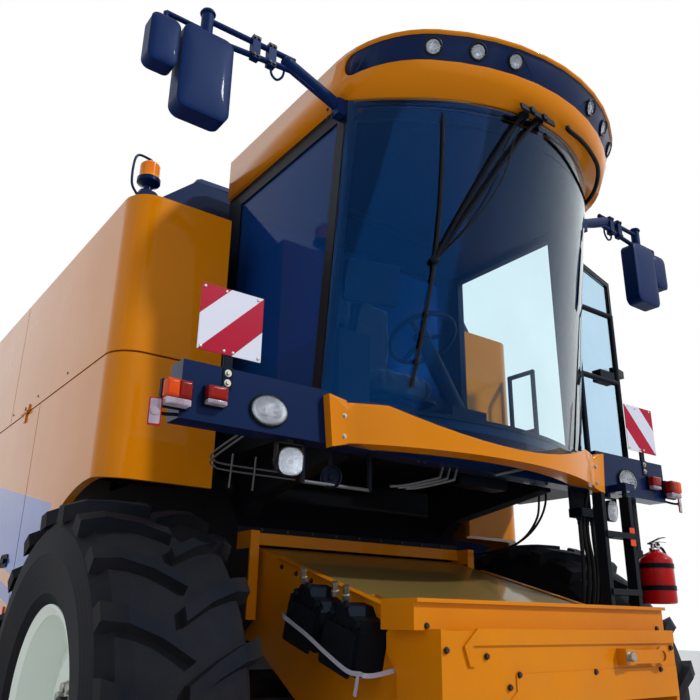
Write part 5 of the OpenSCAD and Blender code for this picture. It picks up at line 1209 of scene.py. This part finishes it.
class COMBINE_OT_seat(bpy.types.Operator):
    """Driver's seat: sprung base with bellows, padded cushion, backrest and armrest"""
    bl_idname = "combine.seat"
    bl_label = "Driver's seat"

    def execute(self, context):
        bm = bmesh.new()
        place = facing((0, 0, 1), (0, 700, FLOOR + 21))
        folds = [(150 - 22 * (k % 2), 18 + 17 * k) for k in range(15)]
        lathe(bm, [(0, 0), (160, 0), (160, 14)] + folds + [(150, 278), (0, 278)], place, 48)
        prism(bm, rounded(440, 400, 60), facing((0, 0, 1), (0, 710, FLOOR + 299)), 22)
        for side in SIDES:
            prism(bm, rounded(70, 44, 10), facing((0, -1, 0.2), (side * 190, 975, FLOOR + 470)), 60)
        tube(bm, [(-294, 880, FLOOR + 470), (-294, 905, FLOOR + 600), (-262, 950, FLOOR + 640)], 16, 12, 5)
        make_piece("seat_base", bm, "moulded_black", "chassis", replaces=("seat",), smooth=35, bevel=3)
        pads = (("seat_cushion", (-260, 480, FLOOR + 320), (260, 960, FLOOR + 460), 26, 0.8,
                 ((0, -150, 7, 9), (0, 150, 7, 9), (1, 640, 7, 6))),
                ("seat_backrest", (-250, 905, FLOOR + 462), (250, 1040, FLOOR + 1100), 26, 0.8,
                 ((0, -140, 7, 9), (0, 140, 7, 9), (2, FLOOR + 620, 7, 6), (2, FLOOR + 860, 7, 6))),
                ("seat_armrest", (-330, 500, FLOOR + 540), (-258, 900, FLOOR + 620), 8, 0.9, ()))
        for name, low, high, swell, fill, seams in pads:
            pad = cushion(name, low, high, swell, seams)
            pad.data.materials.append(mat("seat_cloth"))
            soft = pad.modifiers.new("smooth", "SUBSURF")
            soft.levels = soft.render_levels = 1
            for poly in bake(pad).polygons:
                poly.use_smooth = True
            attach(pad, "chassis")
        return {"FINISHED"}


# Wheels of an end: its letter, the wheel, the rim's face across, radius of the ring of nuts, height of the hub cap
WHEEL_ENDS = (("f", FRONT_WHEEL, 1570, 112, 41), ("r", REAR_WHEEL, 1490, 100, 36))


class COMBINE_OT_wheels(bpy.types.Operator):
    """Wheel nuts, hub caps and air valves on the four wheels"""
    bl_idname = "combine.wheels"
    bl_label = "Wheel nuts and valves"

    def execute(self, context):
        for side, tag in SIDE_TAGS:
            for end, (_, y, radius), face, ring, cap in WHEEL_ENDS:
                body = "wheel_" + end + tag
                out = (side, 0, 0)
                hub = (side * (face + 0.3), y, radius)
                grow("nuts_" + end + tag, "bolts", ring_spots(hub, out, ring, sizes().nut_count), "zinc_bolt", body,
                     "bare_steel", width=sizes().nut, height=0.55, washer=1.15)
                bm = bmesh.new()
                lathe(bm, [(0, cap), (62, cap), (62, cap + 4), (56, cap + 9), (20, cap + 12), (0, cap + 12)],
                      facing(out, hub), 40)
                lathe(bm, [(0, 0), (10, 0), (10, 10), (6, 14), (6, 40), (8, 42), (8, 52), (0, 54)],
                      facing((side, -0.3, 0), (side * (face - 30), y, radius - 0.31 * radius)), 14)
                make_piece("hub_cap_" + end + tag, bm, "dark_bolt", body, smooth=35)
        return {"FINISHED"}


def band(bm, path, across, width, thick):
    """A flat band along places in millimetres, its width along a direction."""
    rings = []
    for i, p in enumerate(path):
        run = (Vector(path[min(i + 1, len(path) - 1)]) - Vector(path[max(i - 1, 0)])).normalized()
        side = Vector(across) - run * Vector(across).dot(run)
        side = side.normalized() * width / 2
        rise = run.cross(side).normalized() * thick
        here = Vector(p)
        rings.append([bm.verts.new(at(*q)) for q in (here - side, here + side, here + side + rise, here - side + rise)])
    for a, b in zip(rings, rings[1:]):
        for k in range(4):
            bm.faces.new((a[k], a[(k + 1) % 4], b[(k + 1) % 4], b[k]))
    bm.faces.new(rings[0])
    bm.faces.new(rings[-1])


class COMBINE_OT_extinguisher(bpy.types.Operator):
    """Fire extinguisher: red bottle, valve with levers and gauge, and its bracket and straps"""
    bl_idname = "combine.extinguisher"
    bl_label = "Fire extinguisher"

    def execute(self, context):
        x, y, z, r = 1405, 5, 1380, 92
        bm = bmesh.new()
        place = facing((0, 0, 1), (x, y, z))
        shoulder = [(r - 12 * (1 - math.cos(a)), 225 + 27 * math.sin(a)) for a in (0.3, 0.7, 1.1, 1.5)]
        neck = [(66, 268), (44, 280), (28, 288), (28, 296), (0, 296)]
        lathe(bm, [(0, 6), (60, 6), (78, 0), (86, 2), (r, 12), (r, 225)] + shoulder + neck, place, 56)
        make_piece("extinguisher_bottle", bm, "red_gloss", "chassis", replaces=("fire_extinguisher",),
                   smooth=50)
        bm = bmesh.new()
        lathe(bm, [(0, 296), (30, 296), (30, 304), (20, 308), (20, 322), (24, 324), (24, 334), (0, 334)], place, 28)
        lathe(bm, [(0, 0), (17, 0), (17, 14), (14, 17), (0, 17)], facing((-0.3, -1, 0.2), (x - 8, y - 20, z + 316)), 24)
        lathe(bm, [(0, 0), (9, 0), (9, 26), (0, 26)], facing((1, 0, 0), (x + 20, y, z + 316)), 16)
        make_piece("extinguisher_valve", bm, "bright_rod", "chassis", smooth=40)
        bm = bmesh.new()
        for lift in (0, 20):
            band(bm, [(x, y + 34, z + 327 + lift * 0.2), (x, y, z + 334 + lift * 0.4), (x, y - 40, z + 336 + lift),
                      (x, y - 72, z + 330 + lift * 1.4)], (1, 0, 0), 24, 3)
        tube(bm, [(x + 44, y, z + 316), (x + 78, y - 6, z + 300), (x + 98, y - 10, z + 250), (x + 99, y - 10, z + 130),
                  (x + 97, y - 10, z + 80)], 8, 10, 6)
        lathe(bm, [(0, 0), (10, 0), (15, 60), (0, 60)], facing((0, 0, -1), (x + 97, y - 10, z + 84)), 18)
        for height in (70, 190):
            lathe(bm, [(r + 0.4, 0), (r + 3.4, 0), (r + 3.4, 26), (r + 0.4, 26)],
                  facing((0, 0, 1), (x, y, z + height)), 56, closed=True)
        prism(bm, rounded(64, 300, 8), facing((0, 1, 0), (x, y + r + 3, z + 150)), 8)
        box(bm, (x - 18, y + r + 3, z + 296), (x + 18, y + r + 12, BEAM_LOW - 0.3))
        make_piece("extinguisher_bracket", bm, "cab_black", "chassis", smooth=35)
        return {"FINISHED"}


# The control boxes' strap, along the outer face of the two boxes on the feeder house
STRAP = ((-700, 470, 1262), (-760, 452, 1286), (-848, 400, 1285), (-850, 330, 1256), (-850, 200, 1205),
         (-850, 60, 1142), (-850, -80, 1086), (-850, -160, 1080), (-848, -188, 1076), (-800, -200, 1078),
         (-700, -196, 1094))


class COMBINE_OT_feeder(bpy.types.Operator):
    """Bolts, strap, connectors and edge flanges of the feeder house and the header frame"""
    bl_idname = "combine.feeder"
    bl_label = "Feeder house fittings"

    def execute(self, context):
        bm = bmesh.new()
        path = [tuple(1000 * c for c in p) for p in smooth_path([Vector(p) / 1000 for p in STRAP], 5)]
        band(bm, path, (0, 0.35, 1), 17, -2)
        band(bm, [(-852.5, -150, 1076), (-856, -146, 1040), (-855, -134, 1004)], (0, 1, 0), 17, 2)
        make_piece("box_strap", bm, "strap_grey", "feeder", smooth=50)
        bm = bmesh.new()
        for y in (-825, -1110):
            for step in (22, 118, 196):
                place = feeder_point(-832, y + step, 196 if step == 118 else 150)
                lathe(bm, [(0, 0), (15, 0), (15, 12), (11, 15), (11, 26), (0, 28)], facing((-0.2, 0, 1), place), 18)
            lid = (Matrix.Translation(at(*feeder_point(-838.4, y + 125, 40)))
                   @ Matrix.Rotation(math.radians(FEEDER_SLOPE), 4, "X") @ facing_turn((-1, 0, 0)))
            prism(bm, rounded(212, 168, 14), lid, 7)
        make_piece("box_fittings", bm, "moulded_black", "feeder", bevel=1.5)
        bm = bmesh.new()
        for k, y in enumerate((-905, -845, -620)):
            lathe(bm, [(0, 0), (17, 0), (17, 22), (12, 26), (12, 44), (15, 46), (15, 58), (0, 60)],
                  facing((-0.3, -0.35, 1), feeder_point(-775 - 14 * k, y, 205)), 6 if k else 20)
        make_piece("box_connectors", bm, "cast_steel", "feeder", smooth=30)
        bm, bolts = bmesh.new(), []
        for side in SIDES:
            ends = [feeder_point(side * (FEEDER_X + 0.3), y, FEEDER_R + 3) for y in (-210, -FEEDER_LEN + 20)]
            band(bm, ends, (1, 0, 0), 44, 3)
            ends = [feeder_point(side * (FEEDER_X + 0.5), y, 190) for y in (-260, -1060)]
            bolts += row_spots(*ends, 7, (side, 0, 0))
        make_piece("feeder_flanges", bm, "feeder_paint", "feeder")
        bolts += [((x, FRAME_FACE - 5.2, z), (0, -1, 0)) for x, z in HATCH_BOLTS]
        bolts += [((x, FRAME_BACK - 0.5, 1250), (0, -1, 0)) for x in (-720, 720)]
        grow("feeder_bolts", "bolts", bolts, "dark_bolt", "feeder", "bare_steel", width=0.017)
        latches = [((312, -506, 1138), (0, -1, 0))] + [((side * 861, -315, 760), (side, 0, 0)) for side in SIDES]
        grow("latch_bolt", "bolts", latches, "zinc_bolt", "feeder", "bare_steel", width=0.034, height=0.6)
        return {"FINISHED"}


# Hoses from the coupler block under the walkway to the axle: name and place across, in millimetres
HOSE_PLACES = {"lift_hose_1": 812, "lift_hose_2": 842, "lift_hose_3": 874, "lift_hose_4": 922, "lift_hose_5": 952}


def cord(name, route, diameter):
    """A rubber hose along a smooth route in millimetres."""
    bm = bmesh.new()
    path = smooth_path([at(*p) for p in route], 4)
    sweep(bm, path, diameter / 2, 16)
    hose = make_piece(name, bm, "hose_rubber", "chassis", smooth=60)


class COMBINE_OT_hoses(bpy.types.Operator):
    """Hydraulic hoses from the coupler block to the axle, and two hoses that loop to the body"""
    bl_idname = "combine.hoses"
    bl_label = "Hoses and coupler block"

    def execute(self, context):
        for k, (name, x) in enumerate(HOSE_PLACES.items()):
            end_y = 759 if x < 890 else 641
            fore = 8 * (k % 3)
            route = [(x, 60, 1792), (x, 60, 1700), (x + 6 * (k % 2) - 3, 58 - fore, 1560), (x - 4, 74 - fore, 1400),
                     (x + 4, 130, 1240), (x + 2, 240, 1100), (x, 390, 1000), (x, 520, 940), (x, end_y - 70, 905),
                     (x, end_y, 900)]
            cord(name, route, sizes().hose)
        for k, x in enumerate((1160, 1120)):
            drop = 20 * k
            route = [(x, 560 + drop, 2068), (x - 4, 560 + drop, 1990), (x - 50, 566, 1890 - drop / 2),
                     (x - 130, 590, 1790 - drop), (x - 225, 640, 1715 - drop), (x - 300 + 30 * k, 720, 1680 - 14 * k),
                     (842 + 6 * k, 810, 1668 - drop), (815, 870, 1662 - 24 * k), (781, 893, 1660 - 24 * k)]
            cord("loop_hose_" + str(k + 1), route, 0.014)
        bm = bmesh.new()
        prism(bm, rounded(196, 92, 8), facing((0, 0, 1), (885, 66, 1815)), 46)
        box(bm, (800, 100, 1850), (980, 112, 1965))
        for x in HOSE_PLACES.values():
            lathe(bm, [(0, 0), (17, 0), (17, 14), (13, 18), (13, 40), (0, 40)], facing((0, 0, -1), (x, 60, 1816)), 6)
        tube(bm, [(825, 30, 1850), (830, 20, 1900), (850, 24, 1960)], 9, 10, 5)
        tube(bm, [(900, 30, 1850), (905, 16, 1905), (915, 24, 1961)], 9, 10, 5)
        make_piece("coupler_block", bm, "cab_black", "chassis", smooth=30)
        return {"FINISHED"}


class COMBINE_OT_under_cab(bpy.types.Operator):
    """Pipes, horn, rods and bolts in the shade under the cab"""
    bl_idname = "combine.under_cab"
    bl_label = "Pipes under the cab"

    def execute(self, context):
        bm = bmesh.new()
        for k in range(3):
            x = 46 * k - 520
            tube(bm, [(x, 60, 1832), (x + 90, 60, 1848), (x + 284, 60, 1902), (x + 306, 60, 1918), (x + 324, 60, 1962)],
                 6, 8, 4)
        tube(bm, [(-990, 60, 1801), (-640, 60, 1801)], 8, 10)
        tube(bm, [(88, -9, 1947), (404, -9, 2032)], 8, 10)
        for k in range(2):
            z = 1920 - 26 * k
            tube(bm, [(-748, 500, z), (-1100, 500, z), (-1190, 480, z + 8), (-1232, 400, z + 24),
                      (-1236, 108, 1990 - 20 * k)], 4.5, 8, 5)
        for x in (-1090, -970):
            tube(bm, [(x, 492, 1972), (x - 10, 492, 1816)], 4.5, 8)
        for x in (-420, 0, 420):
            tube(bm, [(x, 112, 1990), (x, 300, 2046)], 9, 8)
        make_piece("cab_pipes", bm, "dull_steel", "chassis", smooth=50)
        bm = bmesh.new()
        lathe(bm, [(0, 0), (46, 0), (50, 6), (50, 14), (40, 20), (38, 12), (16, 10), (12, 16), (0, 16)],
              facing((-0.2, -1, -0.2), (-848, 62, 1836)), 32)
        box(bm, (-856, 60, 1850), (-840, 66, BEAM_LOW + 2))
        for x in (-990, -640):
            box(bm, (x - 8, 52, 1795), (x + 8, 68, BEAM_LOW + 2))
        for x in (-600, -380):
            box(bm, (x - 70, 130, 1985), (x + 70, 300, 2049))
        prism(bm, rounded(360, 120, 20), facing((0, -1, 0), (240, 300, 1990)), 90)
        make_piece("cab_brackets", bm, "cab_black", "chassis", smooth=35)
        spots = row_spots((-640, 979, 1708), (640, 979, 1708), 9, (0, -1, 0))
        spots += [((x, 30, BEAM_LOW - 0.3), (0, 0, -1)) for x in (-380, -340, 120, 520)]
        grow("mouth_bolts", "bolts", spots, "dark_bolt", "chassis", "bare_steel", width=0.014)
        bm = bmesh.new()
        prism(bm, rounded(46, 96, 6), facing((0, -1, 0), (1034, -106, 1712)), 4)
        make_piece("ladder_reflector", bm, "amber_lens", "ladder", bevel=1)
        return {"FINISHED"}


class COMBINE_OT_roof(bpy.types.Operator):
    """Black tube under the visor, and the screws that hold the trim"""
    bl_idname = "combine.roof"
    bl_label = "Roof fittings"

    def execute(self, context):
        bm = bmesh.new()
        tube(bm, [(100, -612, 3640), (110, -610, 3622), (210, -600, 3618), (330, -570, 3616), (480, -510, 3614),
                  (600, -420, 3612), (700, -310, 3612), (770, -190, 3614), (850, -110, 3622), (884, -82, 3640)],
             12, 10, 6)
        make_piece("visor_tube", bm, "hose_rubber", "chassis", smooth=60)
        spots = [((side * (CAB_X - 50), -46, z), (0, -1, 0)) for side in SIDES for z in (1990, 2080)]
        grow("trim_screws", "bolts", spots, "zinc_bolt", "chassis", "bare_steel", width=0.013, washer=1.5)
        return {"FINISHED"}


class COMBINE_OT_covers(bpy.types.Operator):
    """Ribs and bolts on the tank covers, rings and rubber spout on the unloading auger"""
    bl_idname = "combine.covers"
    bl_label = "Tank covers and auger"

    def execute(self, context):
        for side, tag in SIDE_TAGS:
            body = "cover_" + tag
            ribs = [((side * 500, 1480 + 313 * k, COVER_TOP + 46), (side * 1006, 0, -25)) for k in range(7)]
            grow("cover_ribs_" + tag, "slats", ribs, "navy_satin", body, "navy_paint", length=0.9, width=0.014,
                 thick=0.05)
            bolts = row_spots((side * 985, 1400, COVER_TOP + 32), (side * 985, 3440, COVER_TOP + 32), 9, (0, 0, 1))
            grow("cover_bolts_" + tag, "bolts", bolts, "dark_bolt", body, "bare_steel", width=0.02)
        rings, bolts, r = bmesh.new(), [], AUGER_R
        for y in (1930, 3300, 4700, 6100):
            place = facing((0, 1, 0), (AUGER_X, y, AUGER_Z))
            for z in (0, 19):
                lathe(rings, [(r + 0.3, z), (r + 9, z), (r + 11, z + 3), (r + 11, z + 15), (r + 9, z + 18),
                              (r + 0.3, z + 18)], place, 64, closed=True)
            bolts += ring_spots((AUGER_X, y + 37, AUGER_Z), (0, 1, 0), r + 5.5, 10)
        make_piece("auger_rings", rings, "yellow_gloss", "auger", smooth=30)
        grow("auger_bolts", "bolts", bolts, "zinc_bolt", "auger", "bare_steel", width=0.011)
        boot = bmesh.new()
        spout = AUGER_R - 12
        folds = [(spout + 10 + 5 * (k % 2), 16 * k) for k in range(13)]
        lathe(boot, [(spout + 0.4, 0)] + folds + [(spout + 6, 204), (spout + 0.4, 204)],
              facing((0, 0, -1), (AUGER_X, SPOUT_Y, 3210)), 56, closed=True)
        make_piece("spout_boot", boot, "hose_rubber", "auger", smooth=50)
        return {"FINISHED"}


class COMBINE_OT_rear(bpy.types.Operator):
    """Louvres, rear lamps, reflectors, handles and the mesh of the rotary screen"""
    bl_idname = "combine.rear"
    bl_label = "Rear lamps and louvres"

    def execute(self, context):
        (y0, z0), (y1, z1) = REAR_SLOPE
        run = Vector((0, y1 - y0, z1 - z0)).normalized()
        out = Vector((0, -run.z, run.y))

        def on_slope(t, gap):
            """A place a gap off the slope, from its top at 0 to its foot at 1."""
            return tuple(Vector((0, y0 + (y1 - y0) * t, z0 + (z1 - z0) * t)) + out * gap)

        slats = [(on_slope(0.2 + 0.028 * k, 9), (1, 0, 0)) for k in range(17)]
        grow("hood_louvres", "slats", slats, "moulded_black", "chassis", "black_plastic", length=1.5, width=0.012,
             thick=0.03)
        bm = bmesh.new()
        ends = [on_slope(0.175, 0.5)[1:], on_slope(0.69, 0.5)[1:]]
        for x in (-776, 776):
            band(bm, [(x, *end) for end in ends], (1, 0, 0), 46, 16)
        for end in ends:
            band(bm, [(-799, *end), (799, *end)], tuple(run), 46, -16)
        make_piece("louvre_frame", bm, "navy_satin", "chassis", bevel=3)
        self.lamps()
        self.panels()
        self.screen_mesh()
        return {"FINISHED"}

    def lamps(self):
        """Cases on the straw hood with a red, an amber and a pale lens, and a round reflector beside each."""
        (y0, z0), (y1, z1) = HOOD_FACE
        normal = (0, z0 - z1, y1 - y0)
        cases, red, amber, pale = (bmesh.new() for _ in range(4))
        for side in SIDES:
            middle = (side * 600, (y0 + y1) / 2, (z0 + z1) / 2)
            place = facing(normal, middle)
            dish(cases, [(rounded(300, 130, 16), 0.3), (rounded(300, 130, 16), 30), (rounded(288, 118, 12), 34)], place)
            for bm, off, wide in ((red, -74, 126), (amber, 36, 84), (pale, 108, 50)):
                cell = place @ Matrix.Translation((off * -side / 1000, 0, 0.034))
                lens = rounded(wide, 108, 8)
                dish(bm, [(lens, 0), (lens, 14), (rounded(wide - 12, 96, 6), 20)], cell)
            lathe(red, [(0, 0.3), (42, 0.3), (42, 6), (34, 9), (0, 9)],
                  facing(normal, (side * 340, middle[1], middle[2])), 28)
        make_piece("rear_lamp_cases", cases, "moulded_black", "chassis", bevel=2)
        make_piece("rear_lamps_red", red, "red_lens", "chassis", smooth=40)
        make_piece("rear_lamps_amber", amber, "amber_lens", "chassis", smooth=40)
        make_piece("rear_lamps_clear", pale, "pale_lens", "chassis", smooth=40)

    def panels(self):
        """Handles and reflectors on the shields, and screws along the seams of the side panels."""
        for side, tag in SIDE_TAGS:
            x, out = side * (PANEL_X + 0.3), (side, 0, 0)
            handles = bmesh.new()
            for y in (2250, 3650):
                place = facing(out, (x, y, 1560))
                dish(handles, [(rounded(150, 74, 20), 0), (rounded(150, 74, 20), 5), (rounded(128, 54, 16), 5),
                               (rounded(124, 50, 16), 2)], place)
                prism(handles, rounded(96, 26, 10), place @ Matrix.Translation((0, 0, 0.002)), 16)
            make_piece("shield_handles_" + tag, handles, "moulded_black", "shield_" + tag, smooth=35)
            amber = bmesh.new()
            for y in (2120, 3780):
                prism(amber, rounded(104, 44, 8), facing(out, (x, y, 1290)), 8)
            make_piece("side_reflectors_" + tag, amber, "amber_lens", "shield_" + tag, bevel=2)
            screws = (row_spots((x, 4080, 2390), (x, 6560, 2390), 6, out)
                      + row_spots((x, 4080, 2510), (x, 5200, 2510), 4, out)
                      + row_spots((x, 1500, 2510), (x, 3800, 2510), 5, out))
            grow("panel_screws_" + tag, "rivets", screws, "dark_bolt", "chassis", "bare_steel", width=0.016)

    def screen_mesh(self):
        """Crossed wires over the dust screen's disc."""
        bm = bmesh.new()
        x, y, z = -(PANEL_X + 8), DUST_SCREEN_Y, DUST_SCREEN_Z
        for off in range(-315, 316, 21):
            half = math.sqrt(DUST_SCREEN_R ** 2 - off ** 2)
            tube(bm, [(x, y - half, z + off), (x, y + half, z + off)], 1.6, 4)
            tube(bm, [(x, y + off, z - half), (x, y + off, z + half)], 1.6, 4)
        make_piece("screen_wires", bm, "dull_steel", "screen", smooth=0)


class COMBINE_OT_cab_inside(bpy.types.Operator):
    """Headliner, display and levers inside the cab"""
    bl_idname = "combine.cab_inside"
    bl_label = "Inside of the cab"

    def execute(self, context):
        bm = bmesh.new()
        front = [screen_point(u / 12, 0.965, 26)[:2] for u in range(-11, 12)]
        prism(bm, front + [(838, 1040), (-838, 1040)], Matrix.Translation(at(0, 0, 3592)), 18)
        prism(bm, rounded(900, 240, 60), facing((0, 0, -1), (0, 760, 3592)), 60)
        make_piece("headliner", bm, "cab_black", "chassis", bevel=4)
        bm = bmesh.new()
        place = facing((0.35, 1, 0.25), (-420, 330, 2960))
        dish(bm, [(rounded(300, 220, 18), -14), (rounded(310, 230, 20), 0), (rounded(310, 230, 20), 22),
                  (rounded(284, 204, 10), 24), (rounded(284, 204, 10), 20)], place)
        tube(bm, [(-430, 470, 2700), (-436, 420, 2820), (-424, 352, 2930)], 15, 12, 5)
        for k, y in enumerate((520, 600, 680)):
            tube(bm, [(-470, y, 2700), (-470, y + 10, 2760 + 14 * k)], 8, 10)
            lathe(bm, [(0, 0), (17, 2), (20, 18), (13, 30), (0, 33)],
                  facing((0, 0, 1), (-470, y + 10, 2756 + 14 * k)), 18)
        lathe(bm, [(0, 0), (30, 0), (34, 20), (24, 120), (32, 170), (20, 200), (0, 206)],
              facing((0.05, -0.1, 1), (-420, 500, 2701)), 24)
        make_piece("cab_controls", bm, "moulded_black", "chassis", smooth=40)
        return {"FINISHED"}


def smoothed(node, material):
    """A copy of a CAD node with its doubles merged and its facets shaded smooth, which stands for the node."""
    bm = bmesh.new()
    bm.from_mesh(NODES[node].data)
    bmesh.ops.remove_doubles(bm, verts=bm.verts, dist=2e-5)
    name = node + "_smooth"
    place_mesh(name, to_mesh(name, bm), material, "chassis", replaces=(node,), smooth=38)


class COMBINE_OT_smooth_forms(bpy.types.Operator):
    """Smooth-shaded roof, roof band and trim in place of their faceted nodes"""
    bl_idname = "combine.smooth_forms"
    bl_label = "Smooth forms"

    def execute(self, context):
        smoothed("cab_roof", "yellow_gloss")
        smoothed("roof_band", "navy_satin")
        smoothed("cab_trim", "yellow_gloss")
        return {"FINISHED"}


STEPS = [COMBINE_OT_stage, COMBINE_OT_finishes, COMBINE_OT_hoses, COMBINE_OT_windscreen, COMBINE_OT_lamps,
         COMBINE_OT_markers, COMBINE_OT_signs, COMBINE_OT_mirrors, COMBINE_OT_seat, COMBINE_OT_wheels,
         COMBINE_OT_extinguisher, COMBINE_OT_feeder, COMBINE_OT_under_cab, COMBINE_OT_roof, COMBINE_OT_covers,
         COMBINE_OT_rear, COMBINE_OT_cab_inside, COMBINE_OT_smooth_forms]


class COMBINE_PT_panel(bpy.types.Panel):
    """Lists the combine's sizes, colours and steps"""
    bl_idname = "COMBINE_PT_panel"
    bl_label = "Combine"
    bl_space_type = "VIEW_3D"
    bl_region_type = "UI"
    bl_category = "Combine"

    def draw(self, context):
        layout = self.layout
        for group in (paint(), sizes()):
            column = layout.column(align=True)
            for label in group.bl_rna.properties.keys():
                if label not in {"rna_type", "name"}:
                    column.prop(group, label)
        for step in STEPS:
            layout.operator(step.bl_idname)


CLASSES = [CombinePaint, CombineSizes, *STEPS, COMBINE_PT_panel]


def register():
    for cls in CLASSES:
        bpy.utils.register_class(cls)
    bpy.types.Scene.combine_paint = PointerProperty(type=CombinePaint)
    bpy.types.Scene.combine_sizes = PointerProperty(type=CombineSizes)


def unregister():
    del bpy.types.Scene.combine_sizes
    del bpy.types.Scene.combine_paint
    for cls in reversed(CLASSES):
        bpy.utils.unregister_class(cls)


def main():
    register()
    for step in STEPS:
        family, name = step.bl_idname.split(".")
        getattr(getattr(bpy.ops, family), name)()


if __name__ == "__main__":
    main()
